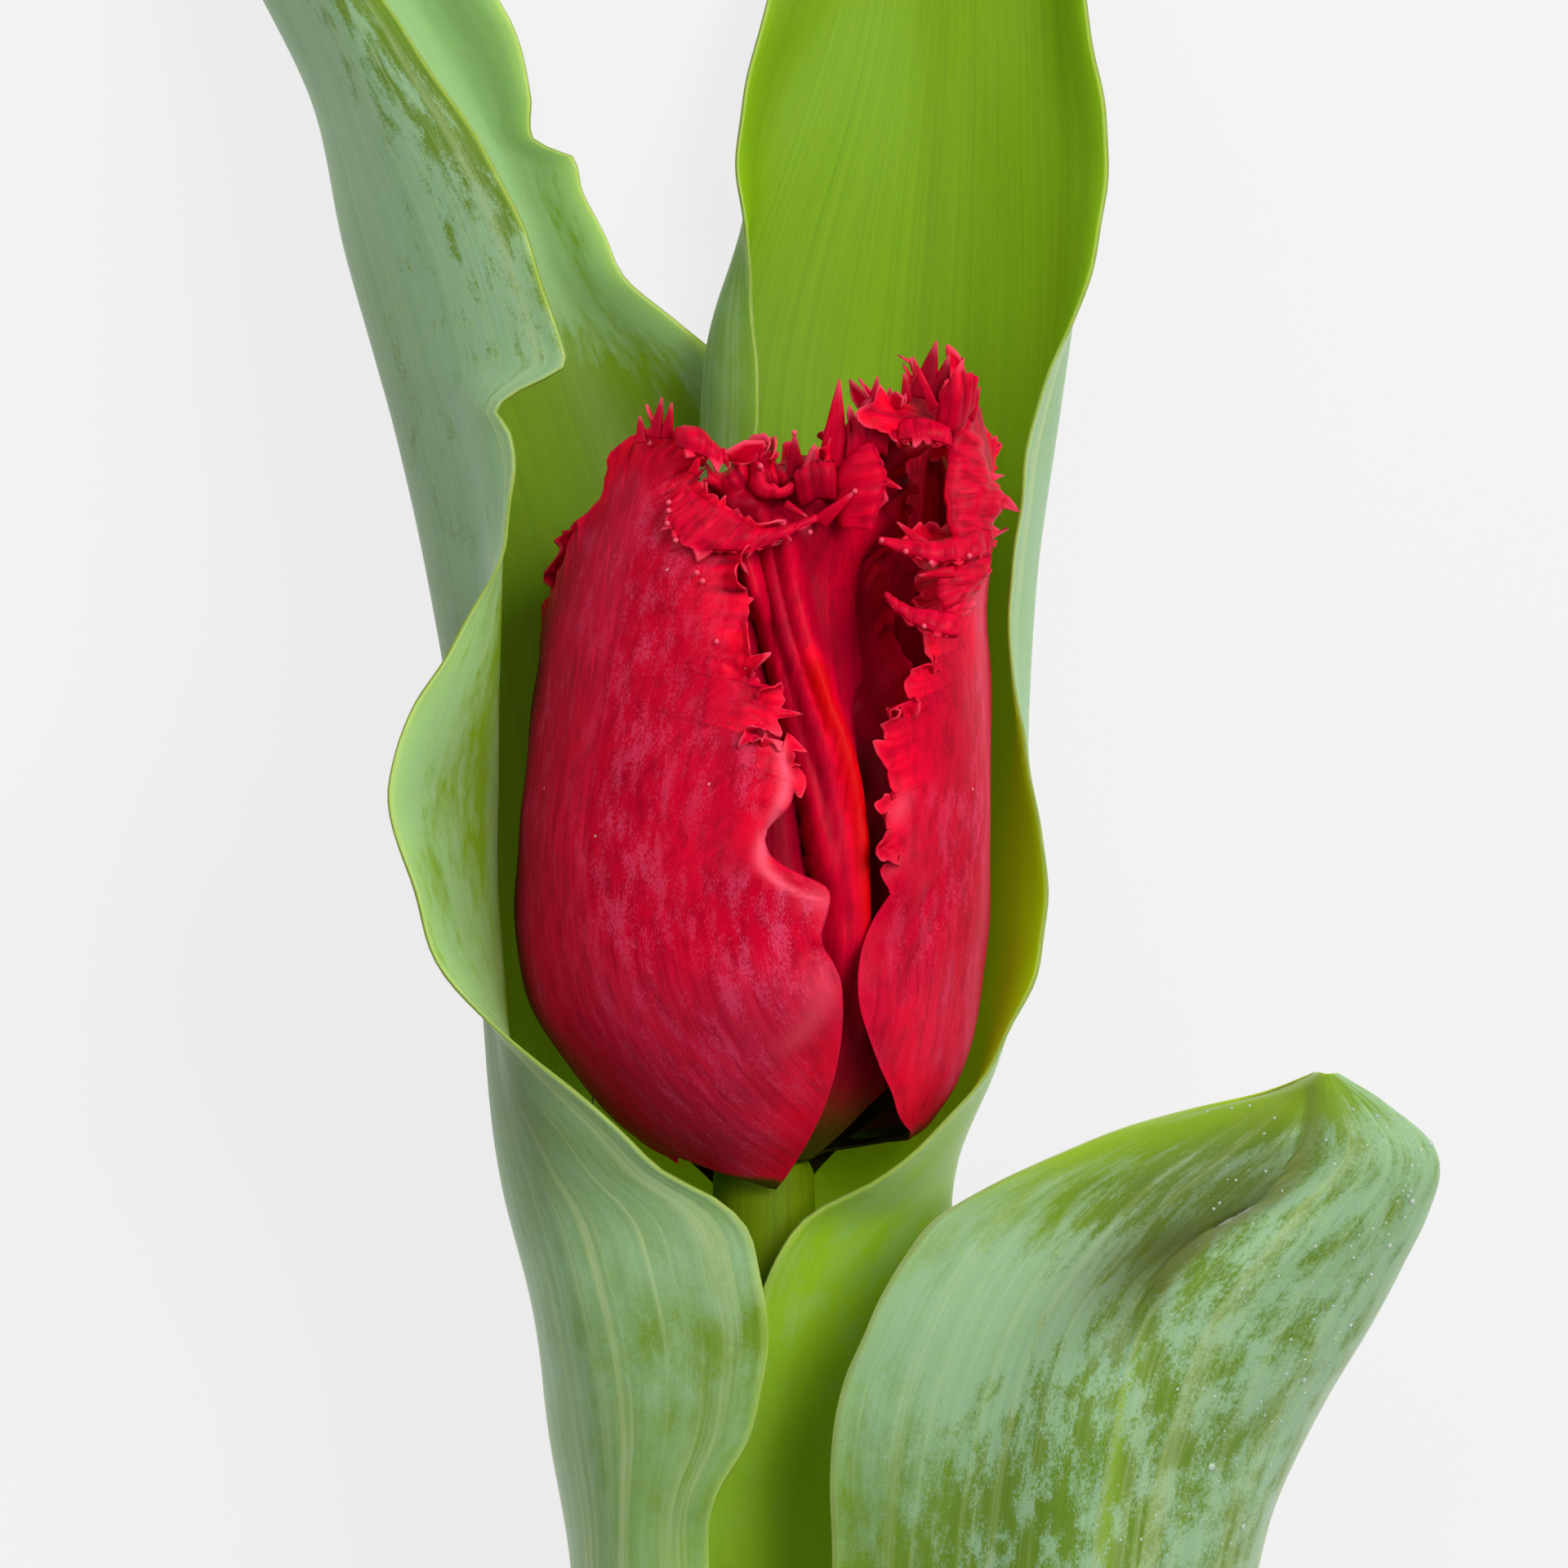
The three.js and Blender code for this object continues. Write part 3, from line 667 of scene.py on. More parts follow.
def plain_floor(stage):
    """A pale matt surface, lit from below as well, so that shadows on it are faint."""
    material, tree, shader = new_material(
        "pale floor", Roughness=0.9, Specular_IOR_Level=0.0, Emission_Color=WHITE,
        Emission_Strength=stage.floor_glow)
    noise = stretched_noise(tree, object_vector(tree), 0.01, 0.01, detail=2.0)
    paint(tree, shader, mix(tree, remap(tree, noise, 0.3, 0.7), stage.floor_colour,
                            [FLOOR_SHADE * part for part in stage.floor_colour[:3]]))
    return material


# ------------------------------------------------------------------------------ leaves

# A leaf is lofted over five rails from its foot to its tip: one margin, three lines in the blade
# and the other margin.
# rails: points (y, x, z) of each rail. sheath: rings (y, radius, azimuths of the rails) round the
#   stem's axis, where the leaf clasps the stem.
# fold: line is (y, x) of a fold. Left of it the blade is pressed down by depth, (y, distance),
#   and that is felt as far as reach. shade is (y, strength) of the painted shade beside the line,
#   as far as shade_reach: the shadow that the raised part right of the fold casts.
#   crest_highlight_and_lime is (y, strength) of a thin line just right of it: a painted highlight
#   on the lit edge of the fold above zero, and lime green below.
# wax, smear, inner_wax, lime_and_shade: (y, values at the five rails) of the cover of wax on the
#   outside, of how evenly it lies, of the cover on the inside, and of bright lime green, partly
#   standing for light that shines through the leaf, with painted shade where negative.
# waves: height of the small waves at the margins.
LEAF_UPPER = {
    "sheath": [
        (-78, 4.9, (-75, -140, 152, 84, 14)),
        (-66, 5.3, (-78, -142, 150, 82, 12)),
        (-50, 6.2, (-85, -146, 150, 80, 5)),
    ],
    "rails": [
        [(-30, -7.5, -2.5), (-14, -9.8, -4), (0, -12.2, -7), (15, -12.5, -14), (32, -11, -16),
         (46, -5, -16.8), (52, -0.9, -16.4), (58, -0.2, -16.4), (65, -1.2, -16.8),
         (76, -1.8, -17.4), (85, 0, -18.4), (100, 4.5, -20.6), (115, 9, -22.8), (124, 12, -23.6),
         (130, 15.6, -24)],
        [(-30, -5, -8), (-14, -6, -5.6), (0, -6.5, -5.8), (4, -6.5, -11.6), (13, -6, -19.4),
         (32, -5.4, -20.4), (46, -4.4, -20.2), (59, -3.4, -20.2), (67, -1.2, -20.4), (85, 5, -21.4),
         (115, 12, -23.6), (130, 15.8, -24)],
        [(-30, 5, -9), (-14, 6.5, -5.6), (0, 7.2, -5.6), (4, 7.6, -11.4), (13, 8.5, -19.6),
         (32, 9, -20.8), (46, 9.6, -21), (59, 10.5, -21.6), (85, 12.6, -23.2), (115, 15.2, -24),
         (130, 16, -24)],
        [(-30, 10.4, -1.4), (-14, 12, -1.4), (-4, 12.6, -2), (2, 13.4, -2.4), (8.5, 15.4, -3.2),
         (14, 16.6, -4), (20, 17.2, -4.6), (32, 17.7, -6.4), (50, 20, -12), (70, 21, -17),
         (85, 20.2, -20.8), (115, 17.6, -23.6), (130, 16.2, -24)],
        [(-30, -6, 5.8), (-22, -4.6, 6.2), (-14, -1.8, 6.4), (-6.7, 0.6, 6.4), (-3, 3.1, 6.2),
         (-0.4, 7.7, 6.6), (3.8, 12.6, 5.8), (8.5, 16.5, 4.2), (14, 19.4, 3), (19, 20.2, 2.2),
         (24, 19.8, 1.8), (31, 18.6, 1), (41, 17.6, -0.6), (54, 19.6, -4.8), (66, 23.6, -10.5),
         (76, 25.3, -13.5), (85, 23.8, -16.5), (100, 21.6, -20), (115, 19.6, -22.6),
         (130, 16.4, -23.9)],
    ],
    "wax": [(-14, (0.2, 0.1, 0, 0, 0)), (-4, (0.2, 0.1, 0.1, 0.2, 0.1)),
            (4, (0.4, 0.4, 0.4, 0.5, 0.35)), (10, (0.5, 0.5, 0.6, 0.7, 0.6)),
            (20, (0.5, 0.5, 0.7, 0.9, 0.9)), (40, (0.15, 0.6, 0.8, 1, 1))],
    "smear": [(0, (0.9,) * 5)],
    "inner_wax": [(-10, (0.2,) * 5), (30, (0.42, 0.2, 0.2, 0.2, 0.2)),
                  (50, (0.5, 0.3, 0.25, 0.25, 0.3)), (90, (0.4, 0.25, 0.2, 0.25, 0.3))],
    "lime_and_shade": [(-10, (0.6, 0.8, 0.9, 1, 1)),
              (0, (0.6, 0.8, 0.9, 0.9, 1)), (12, (0.1, 0.1, 0.1, 1, 1)),
              (34, (0.5, 0, 0, 0.8, 1)), (44, (0.9, 0, 0, 0.2, 0.4)),
              (58, (0.8, 0, 0, 0, 0)), (75, (0,) * 5)],
    "waves": 0.08,
    "seed": 101,
}
LEAF_MIDDLE = {
    "sheath": [
        (-135, 6, (120, -170, -98, -28, 40)),
        (-120, 6.5, (122, -168, -98, -28, 38)),
        (-100, 8.2, (128, -165, -97, -30, 28)),
    ],
    "rails": [
        [(-75, 10.5, -13.5), (-50, 12, -15.5), (-25, 13, -18.4), (0, 13, -21.4), (20, 11, -22.8),
         (40, 6, -23.5), (52, 1.5, -23.2), (59.4, -3, -22.6), (62.4, -6.4, -22),
         (65.5, -10.2, -21.4), (68.6, -11.8, -21.2), (71.8, -13.5, -21), (74.6, -14.4, -20.8),
         (75.4, -16.9, -21.2), (79, -17.2, -21.2), (85, -18.9, -21.4), (95, -26, -22),
         (105, -36, -23), (112, -44.5, -23.8), (117.5, -50.6, -24)],
        [(-75, -1.5, -17.8), (-50, -3, -19), (-25, -4.5, -20.6), (0, -5.5, -22.3),
         (20, -6.5, -22.8), (40, -9, -22.8), (60, -15, -22.6), (79, -23.2, -22.8),
         (95, -32.5, -23.4), (105, -40.5, -23.8), (117.5, -51, -24)],
        [(-75, -11.2, -8.5), (-50, -12.2, -6.5), (-27, -13.2, -4), (-15, -15.2, -3.2),
         (-2, -17.2, -3), (10, -18.8, -4), (25, -20.6, -6), (37.5, -22.4, -8), (50, -25.1, -9.5),
         (67, -29.9, -11.5), (79, -33, -13.8), (95, -40, -18.2), (105, -45.4, -21),
         (117.5, -51.3, -23.8)],
        [(-75, -9.3, 3.4), (-50, -10.4, 6.2), (-28, -11, 8.4), (-15, -11.6, 9.4), (-5, -14, 8.6),
         (2, -16.4, 7.6), (9, -18.4, 6.6), (20, -19.6, 5.4), (32, -19.6, 4.4), (41, -19.4, 3.2),
         (50, -20.4, 2), (67, -24.6, -1.6), (79, -29.4, -5.6), (95, -37.5, -13.5),
         (105, -44, -19), (117.5, -51.2, -23.6)],
        [(-75, -1.8, 6.6), (-50, -3.2, 8.2), (-35, -3.2, 9.2), (-25.5, -4, 10.4), (-22.3, -3.3, 11),
         (-18.5, -1.1, 11), (-15.2, -0.2, 10.8), (-10.8, 0.4, 10.8), (-6.3, -0.3, 10.6),
         (-3.3, -1.3, 10.6), (-1.4, -3.6, 10.8), (0.3, -6.9, 11.2), (3.1, -10.1, 12),
         (5.4, -12.9, 12), (8.7, -16.5, 12), (12.6, -20.4, 11.6), (17.4, -23.6, 11.4),
         (24, -26, 11), (28.2, -26.8, 10.4), (33.8, -24.8, 9.6), (37.5, -22.3, 8.8),
         (41.2, -20.2, 8.2), (45.5, -18.4, 7.2), (50, -17.9, 6.4), (53.4, -18.5, 5.8),
         (55, -19.3, 5.4), (56.2, -18, 5.2), (57.4, -15.4, 4.9), (58.2, -14.2, 4.8),
         (59.4, -14.3, 4.6), (62, -15, 4.2),
         (65.4, -16.2, 3.6), (69.4, -17.8, 2.8), (73.6, -20, 1.4), (79.5, -23.8, -1.4),
         (85, -27.6, -5), (95, -35.2, -12), (105, -42.6, -18.2), (117.5, -51, -23.6)],
    ],
    "wax": [(-60, (0.5, 0.5, 0.6, 0.5, 0.3)), (-28, (0.5, 0.5, 0.75, 0.5, 0.3)),
            (-20, (0.5, 0.5, 0.9, 0.5, 0.35)), (-13, (0.5, 0.5, 0.9, 0.56, 0.4)),
            (-11, (0.5, 0.5, 0.9, 0.5, 0.2)), (-8.5, (0.5, 0.5, 0.9, 0.62, 0.45)),
            (-6, (0.5, 0.5, 0.9, 0.7, 0.55)),
            (30, (0.6, 0.6, 0.7, 0.66, 0.6)), (50, (0.6, 0.6, 0.64, 0.7, 0.75)),
            (60, (0.6, 0.6, 0.66, 0.66, 0.6)), (72, (0.6, 0.6, 0.85, 0.7, 0.4)),
            (88, (0.6, 0.6, 0.8, 0.58, 0.34))],
    "smear": [(-22, (0.9,) * 5), (-12, (0.9, 0.9, 0.9, 0.5, 0.3)),
              (-4, (0.9, 0.9, 0.9, 0.9, 0.85)), (10, (0.6,) * 5),
              (30, (0.3,) * 5), (60, (0,) * 5)],
    "inner_wax": [(-10, (0.2, 0.2, 0.3, 0.5, 0.6)), (20, (0.2, 0.2, 0.3, 0.5, 0.66)),
                  (35, (0.2, 0.2, 0.3, 0.5, 0.66)), (52, (0.3, 0.3, 0.3, 0.5, 0.6)),
                  (64, (0.6, 0.6, 0.5, 0.5, 0.6)), (80, (0.7,) * 5)],
    # Negative values are painted shade, on the inside of the blade next to the flower and along the
    # crease of its flared margin.
    "lime_and_shade": [(-40, (0.3, 0.3, 0.1, 0.3, 0.4)), (-6, (0.1, 0.1, 0, 0, 0.1)),
              (6, (0, 0, 0, -0.6, -0.1)), (30, (-0.5, -0.5, -0.4, -0.7, -0.1)),
              (44, (-0.5, -0.5, -0.4, -0.1, 0)), (56, (-0.5, -0.5, -0.4, 0, 0)),
              (70, (0,) * 5)],
    "waves": 0.14,
    "seed": 202,
}
LEAF_LOWER = {
    "sheath": [
        (-205, 5.2, (-70, 0, 62, 126, -165)),
        (-190, 5.7, (-62, 4, 64, 126, -168)),
        (-170, 7.2, (-50, 8, 66, 124, -178)),
    ],
    "rails": [
        [(-130, -3.5, 1.5), (-95, 0.5, 6.8), (-60, 3.6, 10.8), (-40, 4.8, 12.6), (-28, 4.9, 13),
         (-19, 4.9, 12.8), (-14, 5.8, 12.4), (-10.8, 7.2, 12), (-8.2, 8.4, 11.2), (-5.4, 10.1, 9.8),
         (-2.9, 12.2, 7.6), (-0.7, 16.1, 5.6), (1.5, 20.9, 4.4), (3.5, 25.8, 3.8), (4.9, 30.7, 4.2),
         (6.1, 35.6, 6.4), (7.6, 39.3, 9.2)],
        [(-130, 4.4, 2.8), (-95, 8.5, 9), (-60, 12, 13), (-28, 13.8, 15.2), (-11, 17.6, 13.8),
         (-2.4, 23.8, 8.4), (1.8, 29.3, 7), (5.6, 36.3, 8.6), (7.6, 39.6, 10.4)],
        [(-130, 12, -2), (-95, 16.8, 6.5), (-60, 20.8, 13.4), (-28, 23.2, 17), (-11, 26.6, 17.4),
         (-2.4, 33.8, 15.4), (1.8, 38.4, 14.2), (5.6, 39.8, 12.4), (7.6, 40.1, 11.4)],
        [(-130, 13.6, -14), (-95, 21, -7), (-60, 27.5, 0), (-40, 31.4, 3), (-27, 34.6, 5),
         (-19, 37.4, 6.5), (-10.8, 41.7, 8.5), (-6, 44.4, 9.6), (-2.4, 46.3, 10.4), (1.8, 47.2, 11),
         (5.6, 43.6, 11.6), (7.6, 40.6, 11.4)],
        [(-130, 2.6, -20.5), (-95, 12, -23), (-60, 24, -23.6), (-40, 30.4, -21), (-19, 37.4, -11),
         (-10.8, 41.4, -5), (-2.4, 45.2, 2.4), (1.8, 45.6, 6.4), (5.6, 43.8, 10.2),
         (7.6, 40.9, 11)],
    ],
    "fold": {"line": [(-130, 8), (-60, 17), (-26.6, 23.2), (-21.3, 23.9), (-15.4, 24.8),
                      (-10.6, 26.3), (-7.2, 27.9), (-4.3, 30.9), (-1.4, 35.6), (2.5, 38.4),
                      (7.6, 39.2)],
             "depth": [(-130, 0), (-40, 0.3), (-26, 0.4), (-18, 0.9), (-12, 1.8), (-7, 2.9),
                       (-2, 3.3), (3, 2.8), (7.6, 0.6)],
             "reach": 6,
             # Painted shade: the shadow that the raised part right of the fold casts into the hollow.
             # Above zero crest_highlight_and_lime is a painted highlight on the fold's lit edge.
             "shade": [(-14, 0), (-9, 0.6), (-5, 1.1), (-1, 0.9), (2.5, 0.4), (5, 0)],
             "shade_reach": 5,
             "crest_highlight_and_lime": [(-130, -0.5), (-14, -0.8), (-9, -0.3), (-7, 0.3), (-3, 0.7), (4, 0.8),
                       (7, 0)]},
    "wax": [(-60, (0.3, 0.4, 0.48, 0.52, 0.5)), (-28, (0.3, 0.38, 0.48, 0.54, 0.5)),
            (-20, (0.55, 0.5, 0.48, 0.56, 0.5)), (-12, (0.9, 0.72, 0.5, 0.58, 0.5)),
            (-8, (0.85, 0.74, 0.5, 0.6, 0.5)), (-3, (0.6, 0.48, 0.5, 0.6, 0.5)),
            (1, (0.3, 0.42, 0.5, 0.62, 0.5)), (4, (0, 0.2, 0.45, 0.6, 0.5)),
            (7, (0, 0, 0, 0.6, 0.55))],
    "smear": [(-60, (0.3, 0, 0, 0.05, 0.1)), (-28, (0.4, 0, 0, 0.05, 0.1)),
              (-16, (0.6, 0.05, 0, 0.1, 0.2)), (7, (0.6, 0.1, 0.1, 0.1, 0.2))],
    "inner_wax": [(0, (0.4,) * 5)],
    "lime_and_shade": [(-28, (0.2, 0, 0, 0, 0)), (-9, (0.3, 0.1, 0, 0, 0)),
              (-4, (0.4, 0.2, 0, 0, 0)), (-0.5, (0.8, 0, 0, 0, 0)),
              (2, (1, 0.4, 0, 0, 0)), (5, (1, 1, 0.6, 0, 0))],
    "waves": 0.12,
    "seed": 303,
}
LEAVES = {"leaf_upper": LEAF_UPPER, "leaf_middle": LEAF_MIDDLE, "leaf_lower": LEAF_LOWER}
RAILS = 5
LEAF_ROWS = 300
LEAF_COLUMNS = 72
LEAF_TIP_CROWDING = 1.5  # above 1 the rows crowd towards the tip
LEAF_WIDTH = 45  # blade coordinates run across this width
LEAF_THICKNESS = 0.95
LEAF_CLEARANCE = 0.03  # between a leaf's underside and the surface
LEAF_CALM = (60, 25)  # swells and waves grow over these lengths from the foot and the tip
LEAF_SWELLS = (0.16, 22)  # height and size of the slow swells
LEAF_WAVELENGTHS = (9, 11)  # of the small waves at the left and the right margin
LEAF_WAVE_POWER = 8  # the higher, the closer these waves keep to the margins
LEAF_THIN_SHARE = 0.25  # thickness at the margin against that in the middle
LEAF_THINNING = 4  # width over which the blade gets thinner
LEAF_EDGE = 0.2  # width of the pale edge
FOLD_WIDTH = 1.7  # how far right of its line a fold is pressed down
FOLD_FREE_SHARE = 0.12  # share of the width, at the left margin, where a fold fades out
SHADE_END = (2.2, 0.2)  # past a fold's line its painted shade ends between these distances
CREST_PLACE = 0.6  # distance of the crest's painted highlight from the fold's line
CREST_WIDTH = 0.5


def rail_places(leaf, index, heights):
    """x and z of one rail at the given heights, from its sheath up."""
    clasping = [(y, *(stem_axis(y) + radius * np.array([math.sin(angle), math.cos(angle)])))
                for y, radius, angle in ((y, radius, math.radians(azimuths[index]))
                                         for y, radius, azimuths in leaf["sheath"])]
    rail = np.array(clasping + leaf["rails"][index])
    return cubic(rail[:, 0], rail[:, 1:], heights)


def past_fold(leaf, grid):
    """How far right of its fold's line the points of a leaf lie."""
    return grid[..., 0] - curve_at(leaf["fold"]["line"], grid[..., 1])


def leaf_grid(leaf):
    """Points of a leaf, rows up and columns across: a cubic through the five rails at each
    height, with slow swells all over and small waves at the margins, both along the normals.
    A leaf with a fold is pressed down left of the fold's line, most at the line itself, where
    it ends in a steep step."""
    first, last, seed = leaf["sheath"][0][0], leaf["rails"][0][-1][0], leaf["seed"]
    climb = 1 - (1 - np.linspace(0, 1, LEAF_ROWS)) ** LEAF_TIP_CROWDING
    v, y = np.meshgrid(np.linspace(0, 1, LEAF_COLUMNS), first + (last - first) * climb)
    rails = np.stack([rail_places(leaf, index, y[:, 0]) for index in range(RAILS)])
    places = cubic(np.arange(RAILS), rails.reshape(RAILS, -1), (RAILS - 1) * v[0])
    x, z = places.reshape(LEAF_COLUMNS, LEAF_ROWS, 2).transpose(2, 1, 0)
    grid = np.stack([x, y, z], -1)
    free = smooth(first, first + LEAF_CALM[0], y) * smooth(last, last - LEAF_CALM[1], y)
    slow = LEAF_SWELLS[0] * swells(v * LEAF_WIDTH, y, LEAF_SWELLS[1], seed)
    left, right = (waves(y, wavelength, seed + 1 + k) for k, wavelength in enumerate(LEAF_WAVELENGTHS))
    small = np.abs(2 * v - 1) ** LEAF_WAVE_POWER * np.where(v < 0.5, left, right)
    grid = grid + ((slow + leaf["waves"] * small) * free)[..., None] * grid_normals(grid)
    if "fold" in leaf:
        beyond = past_fold(leaf, grid)
        fade = np.exp(np.where(beyond < 0, beyond / leaf["fold"]["reach"], -beyond / FOLD_WIDTH))
        depth = table_at(leaf["fold"]["depth"], y)
        grid[..., 2] -= depth * fade * smooth(0, FOLD_FREE_SHARE, v)
    return grid


def spread_over(leaf, key, grid):
    """Values of a table of (height, value at each of the five rails), over a leaf's grid."""
    heights, table = zip(*leaf[key])
    by_rail = np.stack([np.interp(grid[:, 0, 1], heights, column) for column in zip(*table)])
    return cubic(np.arange(RAILS), by_rail, np.linspace(0, RAILS - 1, LEAF_COLUMNS)).T


def make_leaf(name, faces, thickness):
    """One leaf: thickest along its middle and thin at its margins, and nowhere below the
    surface that it lies on."""
    leaf = LEAVES[name]
    grid = leaf_grid(leaf)
    steps = np.linalg.norm(np.diff(grid, axis=1), axis=2)
    run = np.concatenate([np.zeros((LEAF_ROWS, 1)), np.cumsum(steps, 1)], 1)
    from_margin = np.minimum(run, run[:, -1:] - run)
    full = smooth(0, LEAF_THINNING, from_margin)
    depth = thickness * (LEAF_THIN_SHARE + (1 - LEAF_THIN_SHARE) * full)
    grid[..., 2] = np.maximum(grid[..., 2], 0.5 * depth + LEAF_CLEARANCE - FOOT[2] / MM)
    lime_and_shade, edge = spread_over(leaf, "lime_and_shade", grid), 1 - smooth(0, LEAF_EDGE, from_margin)
    if "fold" in leaf:
        fold, beyond, y = leaf["fold"], past_fold(leaf, grid), grid[..., 1]
        # Painted shade beside the fold's line, and a painted highlight along its crest, carried by
        # edge; a negative crest_highlight_and_lime adds lime instead.
        beside = np.exp(-(beyond / fold["shade_reach"]) ** 2) * smooth(*SHADE_END, beyond)
        crest_highlight_and_lime = table_at(fold["crest_highlight_and_lime"], y) * np.exp(-((beyond - CREST_PLACE) / CREST_WIDTH) ** 2)
        lime_and_shade = lime_and_shade - beside * table_at(fold["shade"], y) - np.minimum(crest_highlight_and_lime, 0)
        edge = np.maximum(edge, crest_highlight_and_lime)
    across = (np.linspace(0, 1, LEAF_COLUMNS) - 0.5) * LEAF_WIDTH
    layers = {"blade": np.stack(np.broadcast_arrays(across, grid[..., 1]), -1), "edge": edge}
    for key in ("wax", "inner_wax", "smear"):
        layers[key] = spread_over(leaf, key, grid)
    layers["lime_and_shade"] = lime_and_shade
    return make_object(f"{name}_blade", blade(grid, depth, layers), faces, name)


# ------------------------------------------------------------------------------ tepals

